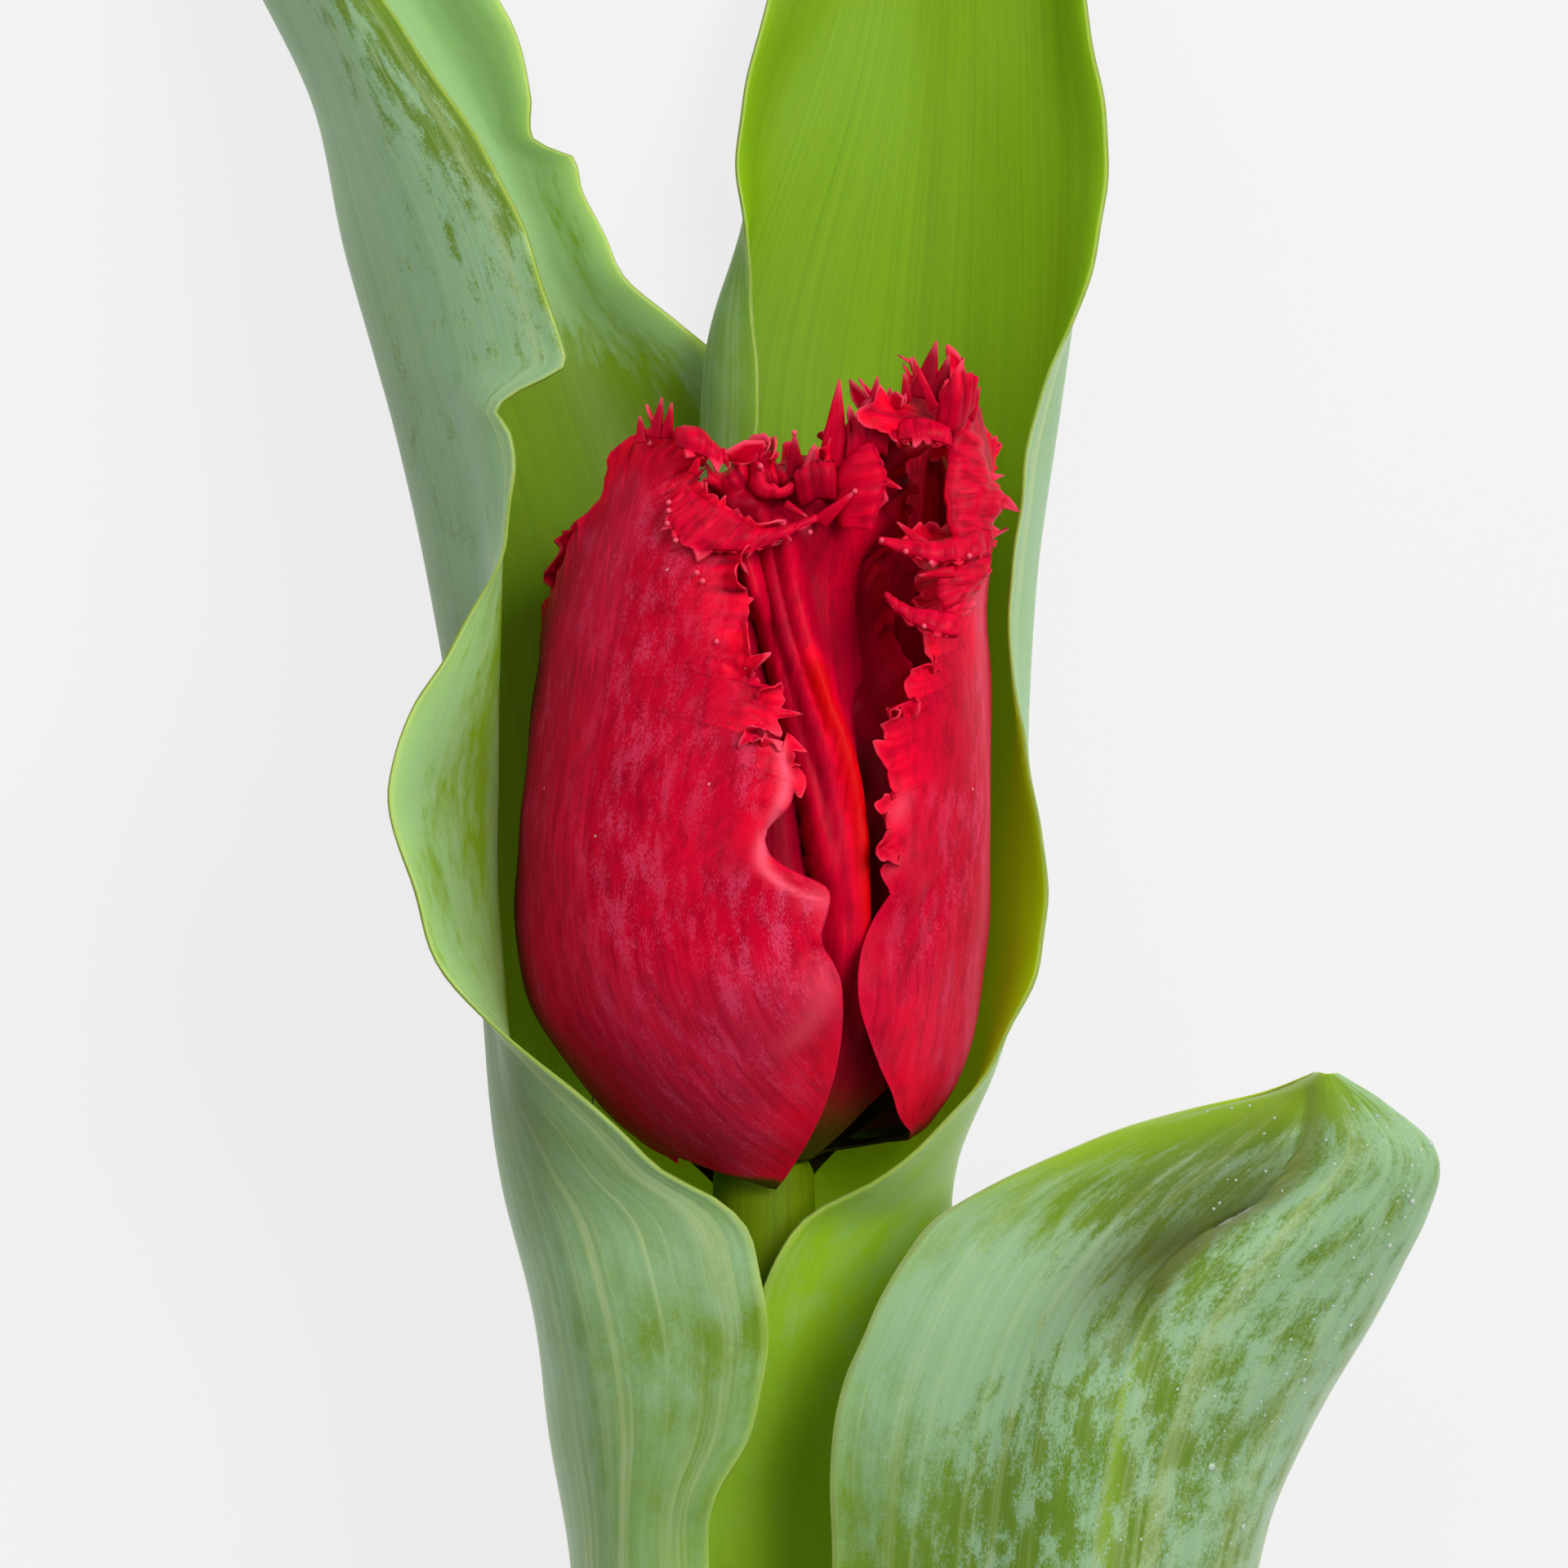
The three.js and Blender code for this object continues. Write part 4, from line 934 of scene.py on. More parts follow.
# A tepal is cut from a bud-shaped shell.
# profile: (height, radius) of the shell. middle: (height, azimuth) of the tepal's midrib.
# outline: its margin from the left of the claw over the tip to the right of the claw, as
#   (height, azimuth) and, where the margin is rolled, the angle in degrees that it turns
#   outwards and the width of the rolled hem.
# fringed: heights where the fringe starts on the left and on the right. fringe: length of its
#   teeth on the left and on the right, and tip_teeth is how much longer they get at the tip.
# ruffle: strength of the ruffles, and reach is how far they run in from the margin. unrest: how
#   much the hem turns to and fro. claw: heights above its foot between which its olive fades.
# pushes: (height, azimuth, reach, distance) press the shell out or in round a point.
# ribs: (line of (height, azimuth), half width, height, flush_and_shade) run up it, grooves where the
#   height is negative. overall_shade: flush_and_shade of the rest. A negative flush_and_shade is
#   painted shade, in grooves, hollows and parts that lie deep or face away from the light.
# pale, dust: (line of (height, azimuth), half width, strength) of painted pink highlights, and
#   of dusty bloom that is partly painted sheen.
# fan: side on which the veins fan out, 1 for the right and -1 for the left.
# crumple: height where its crumpled top starts, and how deep it is crumpled.
# folds: (line where it leaves the tepal, free edge, bulge, length of its teeth, flush_and_shade,
#   whether it shows the inside), flaps of the margin, as points (x, y, z).
# spikes: (root, tip, width at the root, bow towards the viewer, flush_and_shade), the long teeth.
#   Where their flush_and_shade is negative it is painted shade.
# pustules: points (x, y, z) with a small pale swelling.
OUTER_LEFT = {
    "profile": [(-1, 4.4), (1, 6.7), (4, 10.4), (8, 13.8), (13, 16.6), (19, 17.6), (26, 17.3),
                (33, 16.6), (39, 15.8), (45, 14.9), (50, 13.4), (56, 11.8)],
    "middle": [(0.6, -30), (3, -40), (10, -48), (25, -50.5), (32, -48.2), (38, -46), (46, -42.4),
               (50.5, -40)],
    "outline": [
        (1.7, -58), (3.4, -82), (5.4, -100), (8.5, -112), (19, -115), (30, -114), (35, -110),
        (39, -98), (41.6, -86), (43.4, -76), (45.7, -67, 0, 0.3), (47.2, -63, 0, 0.3),
        (49.2, -58, 0, 0.3), (50.4, -56, 0, 0.3), (51.6, -54, 0, 0.3), (52.5, -51, 0, 0.3),
        (53, -48, 0, 0.4), (53.2, -45), (53.4, -42), (53.6, -38), (53.5, -35), (53.5, -33),
        (53.4, -32), (53.2, -26), (53.2, -22), (52.4, -18), (51.6, -19), (51.2, -23),
        (50.4, -23), (49.6, -20), (48.6, -16), (47.4, -9), (46.6, -3), (46, 1), (44.9, -3, 40),
        (43.9, -6), (42.6, -5, 60),
        (41.2, -4, -20), (39.5, -4, 40), (38.1, -2, 70), (37.5, -2, 60), (35.7, -3, -20),
        (35, 0, 20), (34.9, 5), (33.9, 5, -30), (32.5, 3), (32.1, 0, 60), (31.7, -2, 90),
        (30.8, 2, 90), (31, 5, 60), (31, 8), (30.3, 7.5, 50), (28.8, 8, 40), (28.4, 10.5),
        (28.1, 8, 20), (26.8, 6.4), (25.9, 4.5, -40, 1), (24.9, 2.8, -60, 1.2),
        (24, 2.4, -70, 1.2), (22.8, 3, -60, 1), (21.9, 5, -50, 0.9), (21.3, 8, -40, 0.8),
        (20.9, 11, -30), (20.6, 13.8, -10), (20.2, 15.6), (19.3, 15), (17.2, 13.2), (15.1, 16),
        (13.7, 18.4), (12.1, 19.4), (8.3, 21), (5.6, 21), (3.6, 19.5), (1.8, 17), (0.4, 13),
        (-0.7, 6)],
    "fringed": (53, 25), "ruffle": 0.35, "fringe": (0.4, 0.8), "unrest": 0.15, "seed": 11,
    "fan": 1, "reach": 3,
    # Dust bands: dusty bloom, on the left flank partly painted sheen.
    "dust": [([(0, -12), (6, -4), (16, 2), (22, 2)], 4.5, 0.85),
             ([(2, -36), (20, -36), (36, -30), (50, -34)], 4.5, 0.65),
             ([(6, -76), (30, -70), (46, -56)], 3.6, 0.5), ([(26, -4), (32, -4)], 3, 0.5)],
    "pushes": [(13, 12, 4.5, 1), (22.5, 2, 3, 0.9), (24.5, 8, 2.5, -0.6), (31, -4, 3, 0.5),
               (38.5, -8, 2.2, 0.8), (52.4, -36, 2.5, 0.5)],
    # Ribs with a negative flush_and_shade are painted shade: on the left flank, in grooves and folds.
    "ribs": [([(4, -18), (10, 2), (15, 11), (18, 14)], 1.3, 0.55, 0),
             ([(34, -12), (38, -17), (42, -18)], 1.6, 0.25, 0.3),
             ([(2, -94), (30, -88), (48, -68)], 3.8, 0, -1),
             ([(-4, 0), (3, 8), (10, 16)], 2.6, 0, 0.7),
             ([(11, 3), (13, 7), (15.3, 10.5), (17.5, 12.5)], 0.45, -0.5, -0.2),
             ([(36, -5), (39, -7)], 1, 0, 1.2),
             ([(32.5, 0), (35, -3.5), (36.5, -7)], 0.7, -0.7, -0.7),
             ([(38, -6), (41, -9.5), (45, -11)], 1, -0.6, -0.6)],
    # Pale bands: painted pink highlights on the rolled bay and near the right margin.
    "pale": [([(31.7, 3), (29.4, 5), (27.7, 5), (25.9, 2.5), (24.2, 0), (22.5, 0), (21.4, 3),
               (20.6, 7), (20.1, 12)], 0.4, 0.95), ([(19.4, 12), (20.6, 12)], 1.2, 0.4),
             ([(9.5, 6), (12.5, 13), (15.3, 14)], 1, 0.4)],
    "folds": [
        ([(-5.6, 49.8, 14.2), (-4.5, 48.5, 14.4), (-2.6, 47.6, 14.7), (-0.4, 46.3, 14.7),
          (1.8, 46.5, 14.5), (3.8, 47.2, 14.6)],
         [(-6.7, 48.4, 14.1), (-6.6, 46.8, 14.5), (-5.2, 45, 15), (-1.7, 44.7, 15.2),
          (0.4, 45.2, 15), (3.8, 47, 14.6)], 0.35, 0.8, 0.3, True),
        ([(-6.2, 53.5, 13.2), (-4.8, 53.4, 13.4), (-3.9, 52.7, 13.3), (-3.1, 52, 13)],
         [(-6.1, 52.2, 13.9), (-4.9, 51.7, 14.2), (-4, 51.4, 14), (-2.9, 51, 13.6)],
         0.5, 0.8, 1, True)],
    "spikes": [((-7.7, 52.8, 12.4), (-7.2, 55.7, 12.4), 0.8, 0.1, -0.4),
               ((-6.9, 52.8, 12.5), (-6.5, 55.3, 12.6), 0.7, 0.2, -0.3),
               ((-8.6, 52.5, 12), (-8.8, 54.4, 11.8), 0.7, 0, -0.2),
               ((-5, 50.3, 13.6), (-4.4, 51.8, 13.8), 0.5, 0.2, 0.5),
               ((-3, 51.9, 13.2), (-2.4, 50.6, 13.2), 0.5, 0.4, 1),
               ((1, 46.1, 14.8), (2, 45.5, 15), 0.6, 0.2, 0.8)],
    "pustules": [(-6.7, 48.2, 14.7), (-6.7, 47.6, 14.9), (-6.8, 46.7, 15), (-6.2, 45.5, 15.3),
                 (-4.7, 43.2, 15.5), (-4.3, 42.6, 15.7), (-8.1, 52.5, 11.7), (-1.2, 36.5, 16.5),
                 (-3.3, 38.3, 16.6)],
}
OUTER_RIGHT = {
    "profile": [(1.4, 3.9), (1.8, 5.2), (2.2, 7.6), (2.7, 10.2), (3.4, 11.4), (4.6, 12.3),
                (7, 13.6), (11, 15), (17, 15.8), (23, 16.1), (29, 16.2), (35, 16.1), (41, 15.8),
                (46, 16.2), (50, 16.6), (55, 16), (60, 14.6)],
    "middle": [(1.5, 134), (2.2, 118), (3.4, 102), (6, 88), (12, 80), (25, 80), (40, 84), (48, 84),
               (55, 74)],
    "outline": [
        (1.5, 126), (1.8, 118), (2.1, 106), (2.4, 90), (2.8, 76), (4.6, 52), (7.9, 37),
        (10, 30), (12, 26), (13.8, 25), (15.8, 26), (17.2, 28), (18.8, 31), (20, 33), (20.8, 32),
        (21.8, 29.5), (22.2, 32), (22.7, 34), (23.2, 25.5, 50, 1.2), (24, 29), (24.4, 31),
        (25.4, 28, 60, 1.2), (26.2, 29), (26.6, 31, 60), (27, 35), (28, 34.5), (29.3, 33.5),
        (30.1, 31), (31, 32.7), (32.2, 32), (32.6, 32.3, 40), (33, 39), (33.4, 32, 40),
        (33.8, 40), (35, 39), (35.8, 41.5), (36.3, 42, 50), (36.6, 48, 50), (37.5, 45, 20),
        (38.7, 46, 40), (39.6, 44), (40.4, 43), (41, 48, 20), (42.2, 48.5, 20), (42.8, 45),
        (43.6, 44), (44.4, 40), (45.3, 38), (46, 44), (46.3, 50), (47, 54.5), (48.6, 56.5),
        (50.4, 56.5), (51.8, 55), (52.4, 50), (52.6, 42), (52.8, 35), (53.6, 31), (54.3, 27),
        (54.9, 29), (55.2, 32.5), (55, 35), (55.4, 38), (56.4, 41), (57.4, 45), (57.8, 49),
        (56.2, 51.5), (56.8, 56), (57.5, 60), (57.3, 68), (56, 68), (54.7, 67), (54, 72),
        (53.2, 80), (51.5, 90), (49.5, 100), (46.5, 110), (43, 119), (38, 124), (26, 128),
        (8, 130), (4, 136), (2.2, 142), (1.5, 144)],
    "fringed": (19.5, 44), "ruffle": 0.2, "fringe": (0.35, 0.5), "unrest": 0.25, "seed": 23,
    "tip_teeth": 1.1,
    # overall_shade: painted shade over the whole tepal.
    "fan": -1, "reach": 2.5, "claw": (1.8, 2.6), "overall_shade": -0.1,
    # The dust band on the right flank is painted sheen.
    "dust": [([(6, 78), (30, 75), (46, 73)], 2.6, 1), ([(8, 40), (16, 36), (20, 38)], 3, 0.25),
             ([(8, 58), (20, 56), (28, 56)], 3.5, 0.45)],
    # Pale bands: painted highlights, the last one a painted sheen on the right flank.
    "pale": [([(25.5, 34), (27.5, 38)], 0.8, 0.4), ([(21.8, 32), (23, 34)], 0.6, 0.3),
             ([(8, 80), (30, 77), (46, 75)], 2, 0.4)],
    "pushes": [(41.6, 50, 1.6, -0.9), (24, 33, 2, 0.7), (21, 36, 1.8, 0.5), (12, 32, 4, 0.6),
               (55, 50, 2.4, -1), (49, 60, 3, 0.6)],
    # Ribs with a negative flush_and_shade paint shade in the grooves.
    "ribs": [([(52, 60), (46, 62), (42, 66), (36, 72)], 2.2, 0.3, 0.5),
             ([(-2, 68), (6, 52), (13, 40)], 2.4, 0, 0.6),
             ([(12, 36), (15, 40), (19, 50)], 0.8, -0.35, -0.3),
             ([(16, 33), (18, 40), (21, 48)], 0.7, -0.3, -0.2)],
    "folds": [
        ([(13.4, 53.8, 11.4), (13.1, 51.4, 12.8), (12.9, 48.8, 13.6), (13.2, 46.5, 14.1),
          (14.3, 45.1, 14)],
         [(14.7, 54.6, 10.6), (15.8, 50.8, 9.8), (17, 48.5, 9.6), (16.2, 46.4, 10.4),
          (16.3, 45, 11)], 0.9, 1, 0.8, True),
        ([(12.5, 44.2, 14.6), (12.3, 42.4, 14.9), (12.6, 40.8, 15), (13.4, 39.7, 14.8)],
         [(16.2, 44.9, 11.6), (15.8, 43.2, 12), (14.7, 41.5, 13.2), (13.7, 39.7, 14.8)],
         0.8, 0.8, 0.4, True),
        ([(16.1, 46.2, 11.6), (14.5, 46, 13.4), (12.5, 45.4, 14.4), (10.3, 45.4, 14.8),
          (8.2, 45.6, 14.8)],
         [(16, 44.9, 12.4), (14.6, 44.1, 14.4), (12.6, 43.9, 15.2), (10.4, 44.4, 15.3),
          (8.2, 45.4, 14.8)], 0.5, 0.3, 1, True),
        ([(8.6, 41.7, 14.6), (10.1, 40.7, 15), (12.2, 40.4, 15.4), (14, 40.2, 15)],
         [(8.6, 41.5, 14.8), (10, 40, 15.6), (11.9, 39, 16), (13.8, 38.6, 15.8)],
         0.4, 0.3, 0.5, True),
        ([(12.4, 53.6, 12.6), (13.4, 53.3, 12.8), (14.5, 54.6, 11.6)],
         [(12.5, 56, 13.6), (13.8, 57.3, 13.6), (15.2, 57.2, 12.6)], 0.5, 0.8, -0.1, False),
        ([(9.8, 53.9, 12.6), (11.3, 54.1, 13.2), (13.2, 53.6, 13.2)],
         [(9.6, 52.6, 13.6), (11.3, 52.6, 14.2), (13.3, 52.2, 13.6)], 0.4, 0.7, 0.2, True)],
    "spikes": [((11.8, 44.8, 14.6), (9.5, 46.8, 14.2), 0.8, 0.3, 1),
               ((13.5, 43.3, 14.9), (11, 43, 15.2), 0.6, 0.2, 0.3),
               ((12.1, 54.9, 14), (10.6, 58.5, 14.4), 0.5, 0.9, 1),
               ((11.3, 55.6, 12.6), (12.3, 59.7, 12.6), 1.7, 0.2, -0.7),
               ((12.3, 55.4, 12.6), (13.2, 58.7, 12.6), 1.4, 0.2, -0.7),
               ((14.6, 54.2, 11.2), (15.4, 56.5, 11.4), 0.7, 0.1, 0.8),
               ((7.8, 54.3, 11.8), (8.1, 57.2, 11.8), 1, 0.2, -0.3),
               ((8.9, 54.1, 12.2), (9, 56.4, 12.2), 0.9, 0.2, -0.3),
               ((10.2, 55.4, 12.4), (10, 57.4, 12.4), 0.6, 0.2, 0)],
    "pustules": [(10.1, 44.7, 15.8), (14.6, 44.4, 14.9), (11.9, 43.9, 15.7), (11.4, 39.4, 16.2),
                 (8.4, 45.5, 15.1)],
}
OUTER_BACK = {
    "profile": [(-1, 4.6), (1, 6.6), (4, 10.4), (8, 14), (13, 16.6), (19, 17.6), (26, 17.6),
                (33, 17), (39, 16.2), (45, 15), (51, 13.6), (57, 12)],
    "middle": [(-0.8, 185), (20, 187), (46, 187)],
    "outline": [
        (-0.6, 150), (1, 142), (4, 136), (8, 132), (19, 131), (33, 132), (41, 136), (45, 142),
        (48, 154), (49.6, 166), (50.6, 178), (51, 187), (50.4, 196), (49.6, 208), (48, 226),
        (46.4, 244), (46.2, 255), (44.6, 262), (42, 260), (38, 246), (33, 243), (19, 243),
        (8, 242), (4, 238), (1, 230), (-0.6, 220)],
    "fringed": (40, 38), "ruffle": 0.5, "fringe": (1, 1), "unrest": 0.4, "seed": 37,
    # overall_shade: painted shade over the whole tepal.
    "pushes": [], "ribs": [], "fan": 1, "overall_shade": -0.3, "claw": (5, 10),
}
INNER_FRONT = {
    "profile": [(1.2, 3.8), (2.4, 5.2), (5, 8.4), (9, 11.6), (14, 13.4), (20, 14), (27, 13.8),
                (34, 13), (40, 12.2), (46, 11.8), (52, 11.2), (57, 10.6)],
    "middle": [(1.2, 20), (14, 21), (30, 20), (40, 19), (47.5, 22)],
    "outline": [
        (1.2, -12), (2.4, -16), (5, -20), (9, -24), (14, -26), (27, -27), (40, -27), (46, -26),
        (48.2, -22), (49.6, -18), (50.4, -16), (51.1, -13), (51.6, -10), (51.4, -9), (51.4, -5),
        (51.9, -4.6), (51.4, -2), (51.8, -1), (51.4, 1.5), (51.8, 2), (51.2, 3.5), (51.4, 6),
        (51.6, 9), (52.2, 10), (52.4, 11), (52, 13), (51.5, 15), (51.8, 19), (52.6, 21),
        (53, 24), (53.4, 26), (53.2, 30), (53, 33), (53.4, 36), (54, 40), (55, 44), (55.2, 50),
        (55, 56), (54.4, 60), (53, 64), (51, 66), (48, 67), (44, 67), (34, 67), (20, 67), (9, 64),
        (5, 60), (2.4, 56), (1.2, 52)],
    "fringed": (46, 46), "ruffle": 0.5, "fringe": (0.7, 0.7), "unrest": 0.35, "seed": 41,
    "tip_teeth": 0.2,
    # overall_shade: painted shade over the whole tepal, which lies deep in the flower.
    "crumple": (46.5, 0.55), "claw": (1, 7), "fan": 1, "overall_shade": -0.55,
    "pushes": [(49.6, -8, 2.6, 1.6), (49, 5, 2, -1.4), (50.5, 14, 1.8, 0.6), (48.6, 24, 2.2, 1.2),
               (50.8, 44, 3, -2), (46.2, 38, 2.6, 0.4), (46, 12, 2, 0.8), (43, 50, 5, -1.6),
               (34, 52, 5, -1.2)],
    # Ribs with a negative flush_and_shade paint shade in the grooves and on the crumpled top.
    "ribs": [
        ([(40, -2), (36, 2), (33, 6), (30, 9), (26, 12), (22, 15), (18, 20)], 0.9, -2.4, -0.9),
        ([(45, 60), (43, 57), (37.5, 53), (31, 48)], 3.4, -2.4, -0.4),
        ([(34, 40), (26, 36), (20, 36), (14, 38)], 1.5, -2.2, -0.7),
        ([(46, -8), (43.9, -5), (38.7, 1), (34.6, 6), (31.7, 9), (25.9, 15), (20.1, 20),
        (14.3, 23)],
         0.6, 1.5, 0.3),
        ([(47, 5), (43.9, 8), (38.7, 13), (34.6, 18), (30.6, 23), (25.9, 27), (20.1, 28),
          (14.3, 30), (9.6, 33)], 0.75, 1.4, 0.2),
        ([(37, 14), (34.6, 17), (30.6, 23), (25.9, 27), (20.1, 28), (16, 29)], 1.2, 0.6, 2),
        ([(45.5, 12), (56, 12)], 9, 0, -0.8),
        ([(47, 0), (43.9, 2), (38.7, 7), (31.7, 16), (25.9, 21), (14.3, 26)], 0.4, 0.7, -0.2),
        ([(48, 40), (44, 37), (40, 34)], 3, 0, 0.3)],
    "folds": [
        ([(5.4, 51.5, 11.5), (5.1, 49.1, 11.9), (5.6, 46.5, 12.4)],
         [(7.6, 52.5, 13), (8.7, 50, 13.6), (7.8, 46.3, 13.2)], 0.9, 0.4, 0.2, False),
        ([(-0.8, 51, 12.2), (-0.6, 49.1, 12.5), (0.6, 48.8, 12.6), (2.3, 49.1, 12.4)],
         [(-0.2, 51.1, 13.2), (0, 49.7, 13.4), (0.9, 49.3, 13.5), (2.2, 49.5, 13.2)],
         0.3, 0.3, 0.2, True),
        ([(2.6, 48, 12.4), (3.8, 48.6, 12.4), (5.2, 48.4, 12.6)],
         [(2.2, 50.2, 13.2), (3.6, 51, 13.4), (5, 51.2, 13)], 0.6, 0.9, -0.4, False),
        ([(5.8, 51.4, 12.2), (7.2, 52, 12.2), (8.8, 51.6, 12.4)],
         [(6, 53.8, 12.6), (7.4, 54.6, 12.4), (9.2, 54.2, 12.6)], 0.6, 1, -0.2, False)],
    "spikes": [((4.9, 50.6, 12), (5.4, 57, 12.6), 1.9, 0.3, 0.1),
               ((2.3, 49.6, 11.8), (2.2, 53.2, 12.4), 1.3, 0.2, -0.5),
               ((4, 46.8, 13), (6.5, 49, 13.8), 0.9, 0.3, 0.3),
               ((1.6, 48.1, 13.2), (3.1, 47.2, 13.8), 0.4, 0.2, 1),
               ((8.4, 49.8, 13.2), (9.8, 49.2, 13), 0.5, 0.1, 0.3),
               ((-1.9, 50.9, 12.4), (-1.6, 52.3, 12.4), 0.5, 0.1, 0.3),
               ((3.4, 50.4, 12.6), (3.9, 52.2, 12.6), 0.6, 0.1, 0.2)],
    "pustules": [(-0.2, 50.8, 13.6), (3.3, 46.1, 14), (2.2, 53.2, 12.5), (6.5, 49, 13.9)],
}
INNER_RIGHT = {
    "profile": [(1.2, 3.8), (2.4, 6.4), (4, 8.6), (5.5, 10), (9, 12.2), (14, 13.8), (20, 14.4),
                (27, 14.2), (34, 13.6), (40, 13.2), (46, 13), (51, 13.2), (56, 13)],
    "middle": [(1.2, 140), (14, 140), (34, 138), (48, 118)],
    "outline": [
        (1.2, 130), (2.4, 124), (5.5, 108), (9, 94), (14, 86), (27, 80), (34, 74), (40, 68),
        (46, 62), (50, 61), (52.6, 64), (53.6, 78), (54, 96), (53, 110), (51.6, 130), (50, 150),
        (48, 168), (45, 180), (40, 186), (27, 192), (14, 191), (9, 188), (5, 182), (2.4, 176),
        (1.2, 172)],
    "fringed": (51, 40), "ruffle": 0.2, "fringe": (0.3, 0.8), "unrest": 0.2, "seed": 53,
    "pushes": [],
    # overall_shade: painted shade over the whole tepal.
    "fan": 1, "overall_shade": -0.2, "claw": (7, 12),
    "ribs": [([(6, 140), (40, 138)], 1.6, 0.8, 0)],
}
INNER_LEFT = {
    "profile": [(1.2, 3.8), (2.4, 5.2), (5, 8.4), (9, 11.8), (14, 14), (20, 14.8), (27, 14.6),
                (34, 13.9), (40, 12.6), (46, 10.5), (51, 8.6), (55, 8)],
    "middle": [(1.2, -100), (34, -97), (46, -94)],
    "outline": [
        (1.2, -132), (2.4, -136), (5, -142), (9, -146), (14, -148), (27, -149), (34, -147),
        (40, -142), (44, -132), (47, -122), (49, -110), (50.6, -94), (50, -78), (48.6, -64),
        (45, -54), (40, -48), (27, -44), (14, -46), (9, -50), (5, -56), (2.4, -62), (1.2, -68)],
    "fringed": (40, 42), "ruffle": 0.5, "fringe": (0.9, 0.9), "unrest": 0.4, "seed": 67,
    "pushes": [],
    # overall_shade: painted shade over the whole tepal.
    "fan": 1, "overall_shade": -0.5,
    "ribs": [([(6, -98), (40, -96)], 1.6, 0.8, 0)],
    "spikes": [((-0.3, 50.6, 4), (-1, 52.6, 4), 0.9, 0, -0.7),
               ((0.2, 50.6, 4), (-0.2, 52.6, 4), 0.8, 0, -0.7),
               ((0.6, 50.4, 4), (0.5, 52.5, 4), 0.8, 0, -0.7)],
}
# Each tepal with its rows along one side and its columns from the midrib to the hem.
TEPALS = {
    "tepal_outer_left": (OUTER_LEFT, 560, 24), "tepal_outer_right": (OUTER_RIGHT, 560, 22),
    "tepal_outer_back": (OUTER_BACK, 260, 16), "tepal_inner_front": (INNER_FRONT, 440, 36),
    "tepal_inner_right": (INNER_RIGHT, 260, 16), "tepal_inner_left": (INNER_LEFT, 260, 16),
}
PLAIN_HEM = (0.0, 0.7)  # turn in degrees and width, where an outline gives none
FRINGED_SHARE = 0.8  # share of the rows that are spent on the fringed part of a side
ROUNDED_END = 4.0  # the outline turns from rounded to pointed over this length below the fringe
TOOTH_COUNT = 400
TOOTH_WIDTHS = (0.45, 1.3)
TOOTH_SIZES = (0.15, 1.9, 2.6)  # least size, most on top of it, and how rare the long ones are
TOOTH_LEANS = (-0.5, 0.5)
TOOTH_BENDS = (-0.5, 0.8)
TOOTH_TAPER = 1.25  # above 1 the flanks of a tooth are hollow
TOOTH_GROWTH = 6.0  # length of margin over which the teeth grow to their full size
TOOTH_COLUMNS = 3
LEAST_TOOTH = 0.03  # so that no face is without an area where the margin has no teeth
TIP_HEIGHTS = (47, 53)  # tip_teeth sets in between these
HEM_COLUMNS = 6
HEM_TURN = 0.4  # share of the hem that turns, and the rest of it is straight
HEM_BLUR = 8  # how often the hem line is averaged before its direction is taken
OUTWARD_BLUR = 2  # and how often the direction of the hem is
HEM_REACH = 4  # the last columns of the body give the direction of the hem
HEM_UNREST = (2.6, 0.4)  # wavelength of its turns, and share of them below the tip
HEM_UNREST_HEIGHTS = ((18, 30), (38, 50))  # where they set in and where they are full
MEAN_RADIUS = 15.0  # turns an azimuth into a width when outlines are measured
BAND_ENDS = ((-1, 1), (-1, 1))  # a band fades in and out over these heights round its line's ends
RIB_ENDS = ((-2, 4), (-1, 2))
CLIMB_BLUR = 60  # how often the rows' heights on the midrib are averaged
EVEN_SHARE = 0.2  # share of even steps in them; the rest follows the margin
BODY_SHARE = 0.4  # least share of a row that isn't hem
HEM_CROWDING = 1.3  # above 1 the columns crowd towards the hem
TEPAL_SWELLS = (0.1, 9)  # height and size of the slow swells
FRILL = ((6, 1.0), (3, 0.4))  # wavelengths and heights of the ruffles
RUFFLE_REACH = 5
RUFFLE_HEIGHTS = (16, 46)  # ruffles and pleats grow to their full size between these
LEAST_RUFFLE = 0.12
PLEAT = 1.4  # wavelength of the small pleats that run out to the fringe
PLEAT_REACH = 2.5
PLEAT_HEIGHT = 0.06
# PLEAT_LIGHT_AND_SHADE: painted light on the pleats' crests and painted shade in their hollows.
PLEAT_LIGHT_AND_SHADE = 0.5
CRUMPLE_GROWTH = 3
CRUMPLE_SIZE = 2.6
TEPAL_THICKNESS = 0.5
EDGE_THICKNESS = 0.25  # thickness of the edge against that of the middle
THICKNESS_STEPS = ((0.35, 0, 1.2), (0.4, 1, 5))  # shares that it gains between two distances from it
FAN = 9.0  # how steeply the side veins leave the midrib
FAN_GRAIN = 1.5
FAN_ONSET = (0, 6)  # the fan sets in between these distances from the midrib
FAN_HEIGHTS = (12, 26)  # and these heights
EDGE_WIDTH = (0.05, 0.6)
TIP_WIDTH = 0.3
TIP_LENGTH = 0.6  # teeth of this length have half of the pale tip's strength
MARGIN_FLUSH = (0.7, 0.8, 4)  # strength, and the distances from the edge between which it fades
MARGIN_FLUSH_HEIGHTS = (18, 30)
CLAW = (-0.4, 0.2)  # the claw's olive fades between these heights above its foot
CLAW_SPREAD = 0.12
LEAST_DUST = 0.02
FOLD_STEP = 0.18  # distance between the rows of a flap
FOLD_LEAST_ROWS = 12
FOLD_COLUMNS = 10
FOLD_END_BULGE = 0.3  # bulge at the ends of a flap against that of its middle
FOLD_CREASES = (0.1, 2.4)  # height and size
